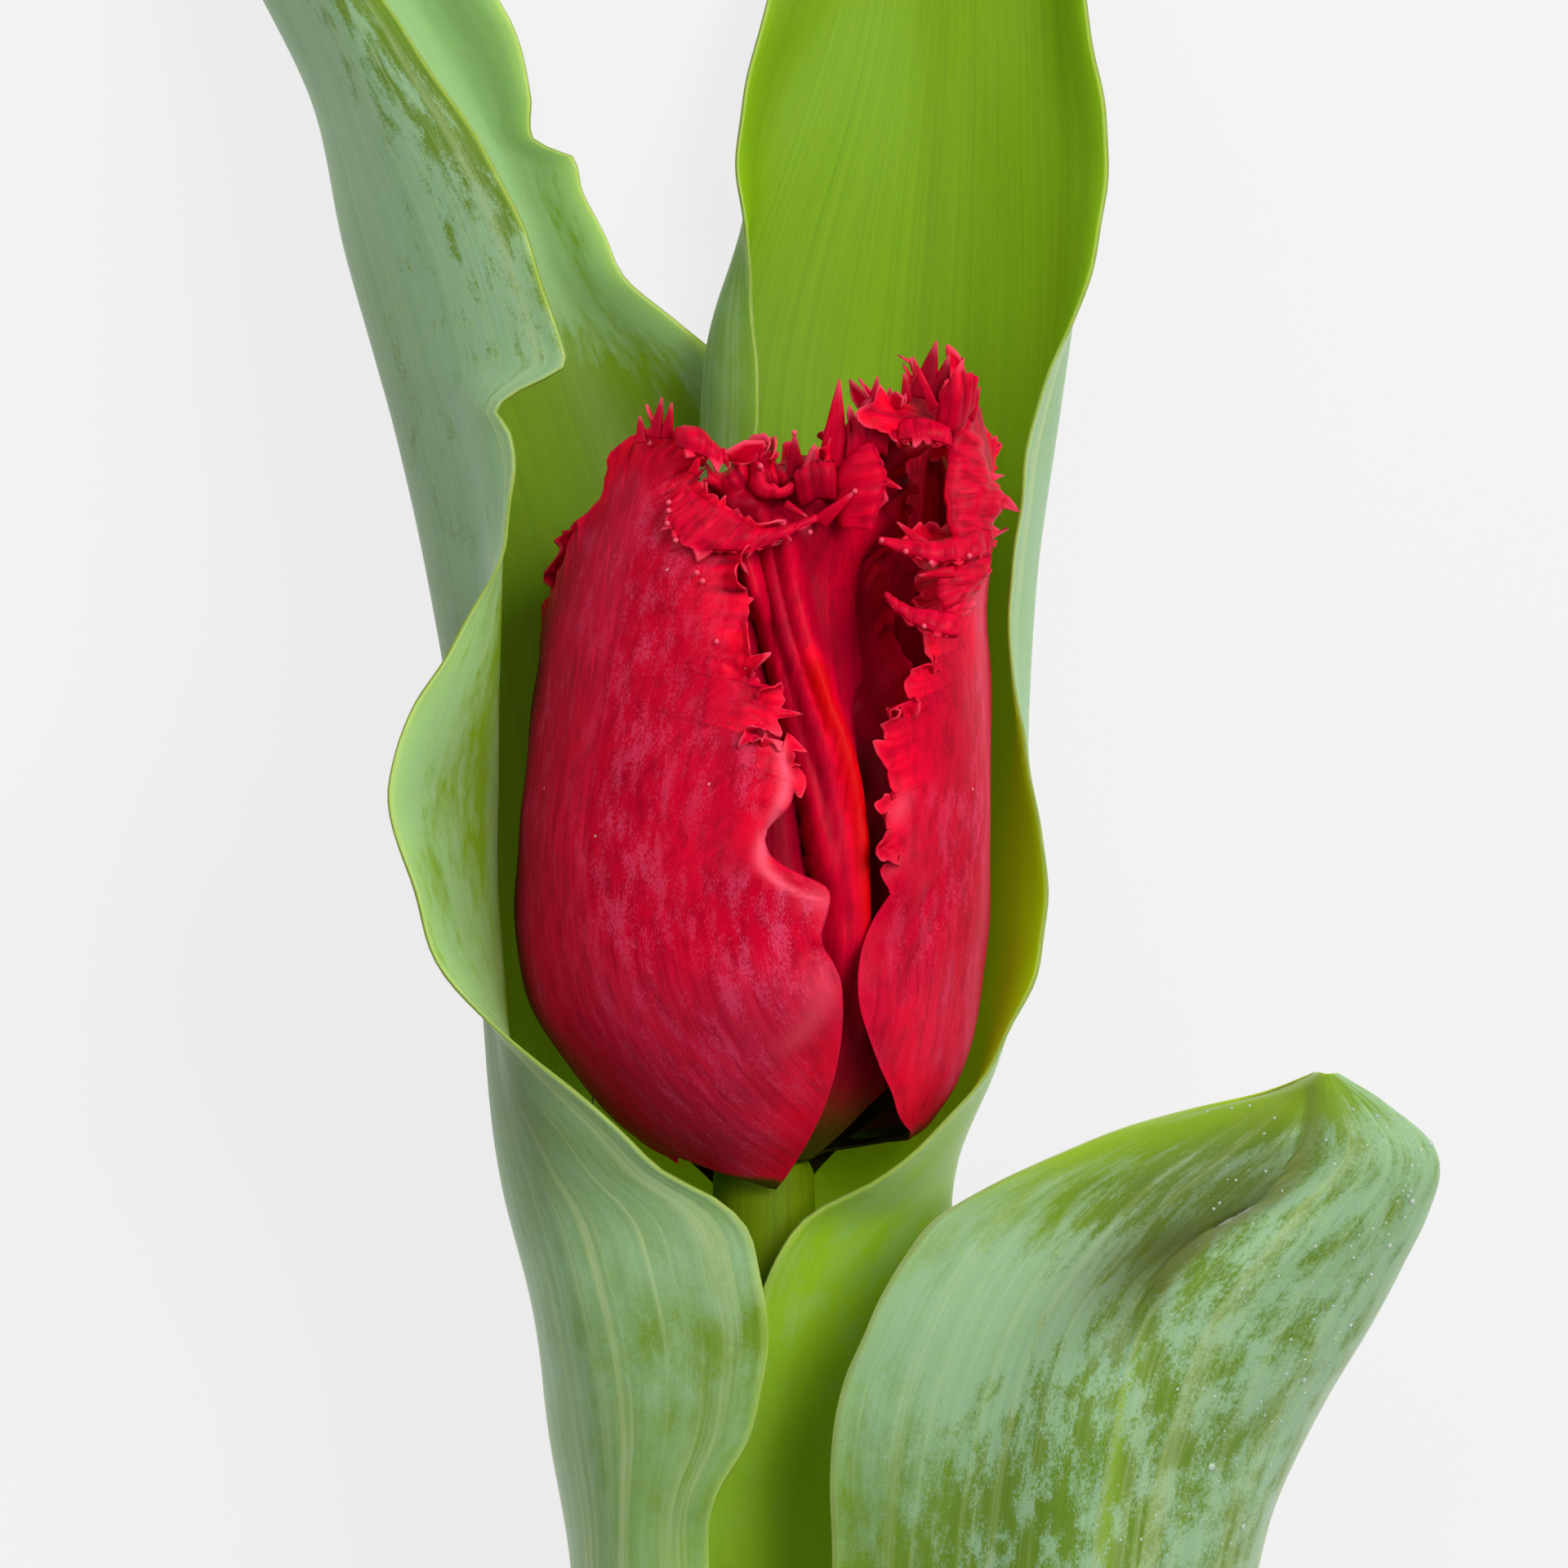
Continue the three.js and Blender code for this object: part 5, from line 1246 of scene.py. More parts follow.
FOLD_PLEATS = (0.08, 0.25)  # height, and the flush_and_shade that paints light on the pleats' crests and shade in their hollows
FOLD_RIM = 0.5
FOLD_TIP = (0.6, 0.8)  # strength of the pale tips, and length of a tooth that shows it
FOLD_THICKNESS = (0.4, 0.25)  # of the flap and of its teeth
SPIKE_ROWS = 16
SPIKE_COLUMNS = 7
SPIKE_TAPER = 1.4
SPIKE_TIP = 0.03  # half the width of a long tooth at its tip
SPIKE_CUP = 0.35
SPIKE_THICKNESS = (0.35, 0.2)  # at the root, and how much less it is at the tip
SPIKE_INSIDE = 0.7  # with more flush than this a long tooth shows the inside
PUSTULE_RADIUS = 0.2
PUSTULE_POINTS = 6  # along each side of its grid
PUSTULE_RIM = 0.2  # thickness at its rim against its radius


def shell_radius(tepal, heights):
    """The radius of a tepal's shell."""
    profile = tepal["profile"]
    return curve_at(profile, np.clip(heights, profile[0][0], profile[-1][0]))


def teeth(run, start, random):
    """Lengths, leans and bends of the fringe at distances along a margin. Beyond start the
    margin is cut into teeth of random widths; a tooth is as long as its random size times a
    curved peak over its width. Most are short and a few are long needles."""
    edges = start + np.cumsum(random.uniform(*TOOTH_WIDTHS, TOOTH_COUNT))
    least, more, rareness = TOOTH_SIZES
    sizes = least + more * random.random(TOOTH_COUNT) ** rareness
    leans = random.uniform(*TOOTH_LEANS, TOOTH_COUNT)
    bends = random.uniform(*TOOTH_BENDS, TOOTH_COUNT)
    k = np.clip(np.searchsorted(edges, run), 1, len(edges) - 1)
    place = (run - 0.5 * (edges[k - 1] + edges[k])) / (0.5 * (edges[k] - edges[k - 1]))
    peak = np.clip(1 - np.abs(place), 0, 1) ** TOOTH_TAPER
    return sizes[k] * (peak * smooth(start, start + TOOTH_GROWTH, run)), leans[k], bends[k]


def side_of_tepal(tepal, right, rows):
    """One side of the margin from the claw to the tip. Columns: height, azimuth, turn and width
    of the hem, distance along the margin, and length, lean and bend of the teeth."""
    outline = np.array([(*point, *PLAIN_HEM[len(point) - 2:]) for point in tepal["outline"]])
    tip = int(np.argmax(outline[:, 0]))
    part = outline[tip:][::-1] if right else outline[:tip + 1]
    steps = np.diff(part[:, :2], axis=0) * (1.0, math.radians(1) * MEAN_RADIUS)
    run = np.concatenate([[0], np.cumsum(np.linalg.norm(steps, axis=1))])
    start = run[np.argmax(part[:, 0] > tepal["fringed"][int(right)])]
    fringed = round(FRINGED_SHARE * rows)
    at = np.concatenate([np.linspace(0, start, rows - fringed, endpoint=False),
                         np.linspace(start, run[-1], fringed)])
    rounded = cubic(run, part, at)
    pointed = np.stack([np.interp(at, run, column) for column in part.T], -1)
    margin = rounded + (pointed - rounded) * smooth(start - ROUNDED_END, start, at)[:, None]
    random = np.random.default_rng(tepal["seed"] + int(right))
    return np.column_stack([margin, at, *teeth(at, start, random)])


def blurred(values, times):
    """Rows of values, each averaged with its neighbours a number of times."""
    for _ in range(times):
        padded = np.concatenate([values[:1], values, values[-1:]])
        values = 0.25 * padded[:-2] + 0.5 * padded[1:-1] + 0.25 * padded[2:]
    return values


def beside(line, azimuth, height, radius):
    """How far right of a line of (height, azimuth) points at a radius lie."""
    return np.radians(azimuth - curve_at(line, height)) * radius


def stripe(line, width, fades, azimuth, height, radius):
    """A soft stripe along a line of (height, azimuth), with a half width. It fades in and out
    over two ranges of height, counted from the line's lowest and highest point."""
    line = sorted(line)
    ends = smooth(*(line[0][0] + part for part in fades[0]), height)
    ends = ends * (1 - smooth(*(line[-1][0] + part for part in fades[1]), height))
    return ends * np.exp(-(beside(line, azimuth, height, radius) / width) ** 2)


def bands(lines, grid):
    """The sum of soft bands over a grid of points, each with its line, half width and
    strength."""
    azimuth, height = np.degrees(np.arctan2(grid[..., 0], grid[..., 2])), grid[..., 1]
    total = np.zeros_like(height)
    for line, width, strength in lines:
        total += strength * stripe(line, width, BAND_ENDS, azimuth, height, MEAN_RADIUS)
    return total


def tepal_body(tepal, margin, columns, ruffle):
    """The tepal from its midrib to its hem, as (grid of points, outward normals of the shell,
    distances from the midrib, heights, flush_and_shade, which is painted shade where negative).
    A row goes straight from the midrib to the hem over the shell, at the shell's radius; ribs,
    pushes, slow swells and, near the hem, ruffles then move its points along the normal."""
    half, seed, run = len(margin) // 2, tepal["seed"], margin[:, 4]
    climb = np.maximum.accumulate(0.5 * (margin[:half + 1, 0] + margin[::-1, 0][:half + 1]))
    climb = blurred(climb, CLIMB_BLUR)
    climb = (1 - EVEN_SHARE) * (climb - climb[0]) / (climb[-1] - climb[0])
    climb = climb + EVEN_SHARE * np.linspace(0, 1, half + 1)
    middle = tepal["middle"]
    rib_height = middle[0][0] + (middle[-1][0] - middle[0][0]) * climb
    rib_height = np.concatenate([rib_height, rib_height[-2::-1]])
    rib = np.stack([rib_height, curve_at(middle, rib_height)], -1)
    reach = margin[:, :2] - rib
    size = np.linalg.norm(reach * (1.0, math.radians(1) * MEAN_RADIUS), axis=1)
    share = np.clip(1 - margin[:, 3] / np.maximum(size, 1e-3), BODY_SHARE, 1.0)
    b = 1 - (1 - np.linspace(0, 1, columns)) ** HEM_CROWDING
    flat = rib[:, None] + (share[:, None] * b)[..., None] * reach[:, None]
    height, azimuth = flat[..., 0], flat[..., 1]
    radius = shell_radius(tepal, height)
    normal = around(0, 1, azimuth)
    across = beside(middle, azimuth, height, radius)
    from_hem = (size * share)[:, None] * (1 - b)

    offset = TEPAL_SWELLS[0] * swells(across, height, TEPAL_SWELLS[1], seed + 7)
    # overall_shade and the ribs' negative flush_and_shade are painted shade.
    flush_and_shade = np.full_like(height, tepal.get("overall_shade", 0.0))
    for line, width, proud, rib_flush_and_shade in tepal["ribs"]:
        band = stripe(line, width, RIB_ENDS, azimuth, height, radius)
        offset += proud * band
        flush_and_shade += (rib_flush_and_shade - flush_and_shade) * band
    for push_height, push_azimuth, spread, distance in tepal["pushes"]:
        aside = np.radians(azimuth - push_azimuth) * radius
        offset += distance * np.exp(-(aside ** 2 + (height - push_height) ** 2) / spread ** 2)
    frill = sum(high * waves(run, wavelength, seed + 5 + k)
                for k, (wavelength, high) in enumerate(FRILL))
    near = np.clip(1 - from_hem / tepal.get("reach", RUFFLE_REACH), 0, 1) ** 2
    grow = smooth(*RUFFLE_HEIGHTS, height)
    high = LEAST_RUFFLE + (1 - LEAST_RUFFLE) * grow
    offset += ruffle * tepal["ruffle"] * high * near * frill[:, None]
    pleat = waves(run, PLEAT, seed + 9)[:, None] * np.clip(1 - from_hem / PLEAT_REACH, 0, 1)
    offset += PLEAT_HEIGHT * grow * pleat
    # Painted light and shade: the pleats are brighter where they stand out and darker where they sink.
    flush_and_shade += PLEAT_LIGHT_AND_SHADE * grow * pleat
    start, depth = tepal.get("crumple", (0, 0))
    crumple = smooth(start, start + CRUMPLE_GROWTH, height)
    offset += depth * crumple * swells(across, height, CRUMPLE_SIZE, seed)
    grid = around(height, radius, azimuth) + offset[..., None] * normal
    return grid, normal, across, height, flush_and_shade


def tepal_hem(tepal, margin, grid, normal):
    """The rolled hem and the fringe beyond it. From the hem line each row goes on outwards; its
    direction turns by the given angle over the first part of the hem and then stays, and the
    teeth go on from there with a lean and a bend of their own."""
    line = grid[:, -1]
    along = unit(np.gradient(blurred(line, HEM_BLUR), axis=0))
    outward = unit(blurred(grid[:, -1] - grid[:, -HEM_REACH], OUTWARD_BLUR))
    outward = unit(outward - (outward * along).sum(-1, keepdims=True) * along)
    proud = np.cross(along, outward)
    proud = proud * np.sign((proud * normal[:, -1]).sum(-1, keepdims=True))
    height, hem, run, length, lean, bend = margin[:, [0, 3, 4, 5, 6, 7]].T
    wavelength, calm = HEM_UNREST
    onset, full = (smooth(*heights, height) for heights in HEM_UNREST_HEIGHTS)
    restless = tepal["unrest"] * (calm + (1 - calm) * full) * onset
    turn = np.radians(margin[:, 2]) + restless * waves(run, wavelength, tepal["seed"] + 8)
    places, here = [], line
    for k in range(HEM_COLUMNS + TOOTH_COLUMNS):
        if k < HEM_COLUMNS:
            step = hem / HEM_COLUMNS
            angle = turn * smooth(0, HEM_TURN, (k + 0.5) / HEM_COLUMNS)
        else:
            step = np.maximum(length, LEAST_TOOTH) / TOOTH_COLUMNS
            angle = turn + bend * (k + 1 - HEM_COLUMNS) / TOOTH_COLUMNS
        here = here + (step * np.cos(angle))[:, None] * outward
        here = here + (step * np.sin(angle))[:, None] * proud
        if k >= HEM_COLUMNS:
            here = here + (step * lean)[:, None] * along
        places.append(here)
    return np.stack(places, 1)


def small_layers(run, width, edge, tip, flush_and_shade):
    """The layers of a small part of a tepal, from its places along and across and its colours
    there."""
    flat = np.zeros(run.shape)
    place = np.stack([width, run], -1)
    return {"blade": place, "fan": place, "spread": flat, "edge": edge, "tip": tip,
            "flush_and_shade": flat + flush_and_shade, "claw": flat, "dust": flat}


def facing_viewer(grid, depth, layers, show_inside):
    """A blade over a small grid, turned so that its front faces the viewer."""
    if grid_normals(grid)[..., 2].mean() < 0:
        grid, depth = grid[::-1], depth[::-1]
        layers = {key: values[::-1] for key, values in layers.items()}
    points, faces, slots, layers = blade(grid, depth, layers)
    if show_inside:
        slots = np.array((1, 0, 2))[slots]
    return points, faces, slots, layers


def fold_shell(fold, fringe, seed):
    """A flap of the margin: a surface between the line where it leaves the tepal and its free
    edge, bulged, crumpled a little, and cut into teeth beyond the edge."""
    root, edge, bulge, tooth, flush_and_shade, show_inside = fold
    root, edge = np.array(root, float), np.array(edge, float)
    length = max(np.linalg.norm(np.diff(line, axis=0), axis=1).sum() for line in (root, edge))
    s = np.linspace(0, 1, max(FOLD_LEAST_ROWS, round(length / FOLD_STEP)))
    root, edge = (cubic(np.linspace(0, 1, len(line)), line, s) for line in (root, edge))
    t = np.linspace(0, 1, FOLD_COLUMNS)[:, None]
    grid = root[:, None] + t * (edge - root)[:, None]
    width = np.linalg.norm(edge - root, axis=1)[:, None]
    normal = grid_normals(grid)
    normal = normal * np.sign(normal[..., 2:].mean())
    run = s[:, None] * length
    pleat = waves(s * length, PLEAT, seed + 9)[:, None]
    high, size = FOLD_CREASES
    crease = high * np.minimum(1, width / 2) * swells(run, t[:, 0] * width, size, seed)
    crease = crease + FOLD_PLEATS[0] * pleat * t[:, 0]
    arch = FOLD_END_BULGE + (1 - FOLD_END_BULGE) * np.sin(np.pi * s)
    grid = grid + (bulge * 4 * t * (1 - t) * arch[:, None, None] + crease[..., None]) * normal
    lengths, leans, bends = teeth(s * length, -10, np.random.default_rng(seed))
    lengths = lengths * tooth * fringe * np.sin(np.pi * s) ** 0.4
    outward = unit(edge - root + 1e-3 * (root[:1] - edge[:1] + 1e-6))
    along = unit(np.gradient(edge, axis=0))
    here, places = grid[:, -1], []
    for k in range(TOOTH_COLUMNS):
        step = (lengths / TOOTH_COLUMNS)[:, None]
        here = here + step * (outward + leans[:, None] * along
                              + (bends * (k + 1) / TOOTH_COLUMNS)[:, None] * normal[:, -1])
        places.append(here)
    grid = np.concatenate([grid, np.stack(places, 1)], 1)
    steps = np.arange(1, TOOTH_COLUMNS + 1)
    inward = np.concatenate([width * (1 - t[:, 0]), -lengths[:, None] * steps / TOOTH_COLUMNS], 1)
    pleat = pleat * np.concatenate([t[:, 0], np.ones(TOOTH_COLUMNS)])
    tip = FOLD_TIP[0] * np.clip(-inward / FOLD_TIP[1], 0, 1)
    # The pleats add painted light on their crests and painted shade in their hollows.
    layers = small_layers(inward, np.repeat(run, grid.shape[1], 1), 1 - smooth(0, FOLD_RIM, inward),
                          tip, flush_and_shade + FOLD_PLEATS[1] * pleat)
    return facing_viewer(grid, np.where(inward > 0, *FOLD_THICKNESS), layers, show_inside)


def spike_shell(spike):
    """A long tooth: a narrow blade that tapers to its tip, bowed towards the viewer and cupped
    across."""
    root, tip, width, bow, flush_and_shade = spike
    root, tip = np.array(root), np.array(tip)
    t = np.linspace(0, 1, SPIKE_ROWS)[:, None]
    a = np.linspace(-1, 1, SPIKE_COLUMNS)
    side = unit(np.cross(tip - root, (0, 0, 1)))
    half = 0.5 * width * (1 - t ** SPIKE_TAPER) + SPIKE_TIP
    grid = (root + t * (tip - root))[:, None] + (half * a)[..., None] * side
    grid[..., 2] += bow * 4 * t * (1 - t) - SPIKE_CUP * half * a ** 2
    run = np.repeat(t * np.linalg.norm(tip - root), SPIKE_COLUMNS, 1)
    layers = small_layers(run, half * a, smooth(0.5, 1, np.abs(a)) * np.ones_like(t),
                          0.5 * smooth(0.7, 1, t) * np.ones_like(a), flush_and_shade)
    thickness = np.repeat(SPIKE_THICKNESS[0] - SPIKE_THICKNESS[1] * t, SPIKE_COLUMNS, 1)
    return facing_viewer(grid, thickness, layers, flush_and_shade > SPIKE_INSIDE)


def pustule_shell(centre):
    """A small pale swelling: a round lens, from a square grid whose points are drawn in to a
    circle."""
    side = np.linspace(-1, 1, PUSTULE_POINTS)
    u, v = np.meshgrid(side, side)
    u, v = u * np.sqrt(1 - 0.5 * v ** 2), v * np.sqrt(1 - 0.5 * u ** 2)
    grid = np.array(centre) + PUSTULE_RADIUS * np.stack([u, v, np.zeros_like(u)], -1)
    depth = PUSTULE_RADIUS * (2 * np.sqrt(np.clip(1 - u ** 2 - v ** 2, 0, 1)) + PUSTULE_RIM)
    one = np.ones_like(u)
    return facing_viewer(grid, depth, small_layers(v, u, one, 2 * one, 0.0), False)


def make_tepal(name, fringe, ruffle, faces):
    """One fringed tepal, sewn along its midrib, with its folds, spikes and pustules. Its rows
    follow the margin from the right of the claw over the tip to the left of the claw, and its
    columns go from the midrib out."""
    tepal, rows, columns = TEPALS[name]
    sides = [side_of_tepal(tepal, right, rows) for right in (True, False)]
    sides[1][:, 4] = sides[0][-1, 4] + sides[1][-1, 4] - sides[1][:, 4]
    for margin, share in zip(sides, tepal["fringe"][::-1]):
        longer = tepal.get("tip_teeth", 0) * smooth(*TIP_HEIGHTS, margin[:, 0])
        margin[:, 5] *= fringe * share * (1 + longer)
    margin = np.concatenate([sides[0], sides[1][-2::-1]])
    body, normal, across, height, flush_and_shade = tepal_body(tepal, margin, columns, ruffle)
    hem = tepal_hem(tepal, margin, body, normal)
    grid = np.concatenate([body, hem], 1)

    beyond = np.linalg.norm(np.diff(grid[:, columns - 1:], axis=1), axis=2).cumsum(1)
    whole = beyond[:, -1:]
    across = np.concatenate([across, across[:, -1:] + np.sign(across[:, -1:]) * beyond], 1)
    height, flush_and_shade = (np.concatenate([values, np.repeat(values[:, -1:], hem.shape[1], 1)], 1)
                     for values in (height, flush_and_shade))
    inside = np.linalg.norm(grid[:, :columns] - grid[:, columns - 1:columns], axis=-1) + whole
    to_edge = np.concatenate([inside, whole - beyond], 1)
    long_tooth = (margin[:, 5] / (margin[:, 5] + TIP_LENGTH))[:, None]
    aside = np.abs(across)
    tip = (1 - smooth(0, TIP_WIDTH, to_edge)) * long_tooth
    strength, *fade = MARGIN_FLUSH
    redder = strength * (1 - smooth(*fade, to_edge)) * smooth(*MARGIN_FLUSH_HEIGHTS, height)
    above_foot = height - tepal["middle"][0][0] + CLAW_SPREAD * aside
    layers = {
        "blade": np.stack([across, height], -1),
        "fan": np.stack([(height - FAN * np.log(np.maximum(aside, 2))) / FAN_GRAIN, across], -1),
        "spread": smooth(*FAN_ONSET, across * tepal["fan"]) * smooth(*FAN_HEIGHTS, height),
        "edge": 1 - smooth(*EDGE_WIDTH, to_edge),
        # tip takes the pale bands, painted highlights; dust takes bands that are partly painted sheen.
        "tip": np.maximum(tip, bands(tepal.get("pale", []), grid)),
        "flush_and_shade": np.clip(flush_and_shade + redder, -1, 2),
        "claw": 1 - smooth(*tepal.get("claw", CLAW), above_foot),
        "dust": LEAST_DUST + bands(tepal.get("dust", []), grid),
    }
    (first, *near), (second, *far) = THICKNESS_STEPS
    thickness = TEPAL_THICKNESS * (EDGE_THICKNESS + first * smooth(*near, to_edge)
                                   + second * smooth(*far, to_edge))
    shells = [blade(grid, thickness, layers, sewn=True)]
    shells += [fold_shell(fold, fringe, tepal["seed"] + 30 + k)
               for k, fold in enumerate(tepal.get("folds", []))]
    shells += [spike_shell(spike) for spike in tepal.get("spikes", [])]
    shells += [pustule_shell(place) for place in tepal.get("pustules", [])]
    return make_object(f"{name}_petal", joined(shells), faces, name)


# ------------------------------------------------------------------------------ stem and inner parts

STEM_RADII = (4.2, 3.7)  # at the cut and just below the flower
STEM_ROWS = (320, 12)  # along the stem and along the receptacle
STEM_SIDES = 48
STEM_TOP = -2.0  # the receptacle starts at this height
RECEPTACLE = [(-2, 3.7), (0.4, 3.6), (RECEPTACLE_END, 2.2)]  # (height, radius)
STEM_SWELLS = (0.06, 30)  # height and wavelength along the stem
STEM_RIBS = (0.035, 2.1)  # and round it
PISTIL_ROWS, PISTIL_SIDES = 70, 60
PISTIL_FOOT = 4.2
PISTIL_HEIGHT = 24.0
OVARY_RADIUS = 2.7
# Share of the height, and radius there against the ovary's.
PISTIL_PROFILE = [(0, 0.62), (0.12, 0.9), (0.35, 1), (0.6, 0.92), (0.76, 0.68), (0.84, 0.82),
                  (0.92, 1.22), (0.97, 1.1), (1, 0.5)]
PISTIL_LOBES = [(0, 0), (0.3, 0.1), (0.76, 0.08), (0.84, 0.2), (0.92, 0.28), (1, 0.3)]
STIGMA_FRILL = 0.1
STIGMA_START = (0.78, 0.86)  # shares of the height between which its colour sets in
WIDEST = 1.5  # most radius of the pistil against the ovary's
STAMEN_ROWS, STAMEN_SIDES = 90, 28
STAMEN_RING = 3.9
STAMEN_FOOT = 3.6
STAMEN_LEAN = 0.13
FILAMENT = 9.0
ANTHER = 11.0
STAMEN_PROFILE = [(0, 0.8), (0.6 * FILAMENT, 0.6), (FILAMENT, 0.35), (FILAMENT + 0.8, 1.05),
                  (FILAMENT + 0.3 * ANTHER, 1.4), (FILAMENT + 0.75 * ANTHER, 1.2),
                  (FILAMENT + ANTHER, 0.25)]
ANTHER_GROOVES = 0.22


def circle(sides):
    """Angles of points round an axis."""
    return np.linspace(0, 2 * np.pi, sides, endpoint=False)


def rings_round(y, wide, angle):
    """Rings of points round the flower's axis: rows of heights and, over rows and angles, radii."""
    return np.stack([wide * np.sin(angle), np.repeat(y[:, None], len(angle), 1),
                     wide * np.cos(angle)], -1)


def make_stem(skin, cut):
    """The stem: rings round its axis, slightly thicker towards the cut, with low lengthwise
    ribs and slow swells, closed by the receptacle's blunt cone at the flower."""
    rows, last_rows = STEM_ROWS
    y = np.concatenate([np.linspace(-STEM_LENGTH, STEM_TOP, rows),
                        np.linspace(STEM_TOP + 0.6, RECEPTACLE_END, last_rows)])
    low, high = STEM_RADII
    radius = low + (high - low) * (y + STEM_LENGTH) / STEM_LENGTH
    radius = np.where(y > STEM_TOP, table_at(RECEPTACLE, y), radius)
    angle = circle(STEM_SIDES)
    swell = (STEM_SWELLS[0] * waves(y, STEM_SWELLS[1], 3)[:, None]
             + STEM_RIBS[0] * waves(angle * 4, STEM_RIBS[1], 4)[None])
    swell = np.minimum(swell, 0) * (1 - smooth(-6, 0, y))[:, None]
    local = rings_round(y, radius[:, None] + swell, angle)
    axis = stem_axis(y)
    rings = local + np.stack([axis[:, 0], 0 * y, axis[:, 1]], -1)[:, None]
    return make_object("stem_skin", swept(rings, {"round": local}, ends=(1, 0)), [skin, cut],
                       "stem")


def make_pistil(skin):
    """The pistil: a three-sided ovary that narrows to a neck, under a stigma whose three lobes
    spread and frill."""
    h, angle = np.linspace(0, 1, PISTIL_ROWS), circle(PISTIL_SIDES)
    radius = OVARY_RADIUS * curve_at(PISTIL_PROFILE, h)
    frill = STIGMA_FRILL * smooth(0.8, 0.92, h)[:, None] * waves(angle * 3, 1.1, 8)[None]
    lobes = curve_at(PISTIL_LOBES, h)[:, None] * np.cos(3 * angle)[None]
    wide = np.minimum(radius[:, None] * (1 + lobes + frill * 0.5), WIDEST * OVARY_RADIUS)
    rings = rings_round(PISTIL_FOOT + PISTIL_HEIGHT * h, wide, angle)
    layers = {"stigma": np.repeat(smooth(*STIGMA_START, h)[:, None], len(angle), 1)}
    return make_object("pistil_body", swept(rings, layers), [skin], "pistil")


def make_stamen(index, skin):
    """One stamen: a tapered filament, then an anther of four lobes, leaning away from the
    flower's axis."""
    h, angle = np.linspace(0, FILAMENT + ANTHER, STAMEN_ROWS), circle(STAMEN_SIDES)
    grooves = ANTHER_GROOVES * smooth(FILAMENT, FILAMENT + 1.2, h)[:, None] * np.cos(4 * angle)[None]
    local = rings_round(h, curve_at(STAMEN_PROFILE, h)[:, None] * (1 + grooves), angle)
    azimuth = math.radians(30 + 360 * index / STAMEN_COUNT)
    outward = np.array([math.sin(azimuth), 0, math.cos(azimuth)])
    onward = np.array((0, 1, 0))
    aside = np.cross(onward, outward)
    up = math.cos(STAMEN_LEAN) * onward + math.sin(STAMEN_LEAN) * outward
    away = math.cos(STAMEN_LEAN) * outward - math.sin(STAMEN_LEAN) * onward
    rings = local[..., :1] * aside + local[..., 1:2] * up + local[..., 2:] * away
    rings = rings + STAMEN_RING * outward + (0, STAMEN_FOOT, 0)
    layers = {"anther": np.repeat(smooth(FILAMENT, FILAMENT + 0.6, h)[:, None], len(angle), 1)}
    name = f"stamen_{index + 1}"
    return make_object(f"{name}_body", swept(rings, layers), [skin], name)


# Drops on the lower leaf: x and y of the middle, and radius.
DEW = [(47.1, 2.6, 0.28), (45.9, -1.2, 0.24), (44.2, -4.2, 0.22), (41.6, -10.2, 0.2),
       (31.4, -20.2, 0.3), (43.0, -6.4, 0.16), (38.2, -14.2, 0.2), (34.1, -24.8, 0.24)]
DEW_SEED = 505
DEW_SCATTER = 150
DEW_HEIGHTS = (-26, 5)
DEW_RADII = (0.05, 0.14)
DEW_BELT = (14, 2.2)  # width of the belt of small drops, and how they crowd towards its right
DEW_EDGE = [(-26, 33.6), (-19, 36.6), (-11, 40.8), (-6, 43.4), (-2.4, 45.4), (2, 46.6), (5, 44)]
DEW_FLATNESS = 0.6
DEW_RINGS, DEW_SIDES = 8, 12
DEW_POLE = 0.49 * np.pi  # the last rings lie just short of the poles
UPPER_SIDE = 0.02  # of two points of the leaf as near to a drop, the higher one is taken


def dew_places():
    """The chosen drops, and small ones scattered along the lower leaf's right side."""
    random = np.random.default_rng(DEW_SEED)
    y = random.uniform(*DEW_HEIGHTS, DEW_SCATTER)
    width, crowding = DEW_BELT
    x = table_at(DEW_EDGE, y) - width * random.random(DEW_SCATTER) ** crowding
    radius = random.uniform(*DEW_RADII, DEW_SCATTER)
    return np.concatenate([DEW, np.stack([x, y, radius], -1)])


def make_dew(material):
    """Drops of dew in one piece. A drop is a flattened ball whose middle lies on the lower
    leaf's upper side, over the nearest point of the leaf."""
    grid = leaf_grid(LEAF_LOWER)
    normals = grid_normals(grid)
    x, y, radius = dew_places().T
    near = ((grid[..., 0] - x[:, None, None]) ** 2 + (grid[..., 1] - y[:, None, None]) ** 2
            - UPPER_SIDE * grid[..., 2])
    row, column = np.unravel_index(near.reshape(len(x), -1).argmin(1), grid.shape[:2])
    normal = normals[row, column][:, None, None]
    aside = unit(np.cross((0, 1, 0), normal))
    onward = np.cross(normal, aside)
    centre = (grid[row, column] + 0.5 * LEAF_THICKNESS * normal[:, 0, 0])[:, None, None]
    rise = np.linspace(-DEW_POLE, DEW_POLE, DEW_RINGS)[:, None, None]
    angle = circle(DEW_SIDES)[:, None]
    size = radius[:, None, None, None]
    rings = centre + size * (np.cos(rise) * (np.cos(angle) * aside + np.sin(angle) * onward)
                             + DEW_FLATNESS * np.sin(rise) * normal)
    return make_object("dew_drops", joined([swept(ring, {}) for ring in rings]), [material])


# ------------------------------------------------------------------------------ settings


def srgb(red, green, blue):
    """A colour from its display values of 0 to 255, in the linear values that Blender keeps."""
    parts = np.array((red, green, blue)) / 255
    return tuple(np.where(parts <= 0.04045, parts / 12.92, ((parts + 0.055) / 1.055) ** 2.4).tolist())


def colour(name, description, default):
    """A colour setting, from its display values."""
    return bpy.props.FloatVectorProperty(
        name=name, description=description, default=srgb(*default), size=3, subtype="COLOR",
        min=0, max=1)


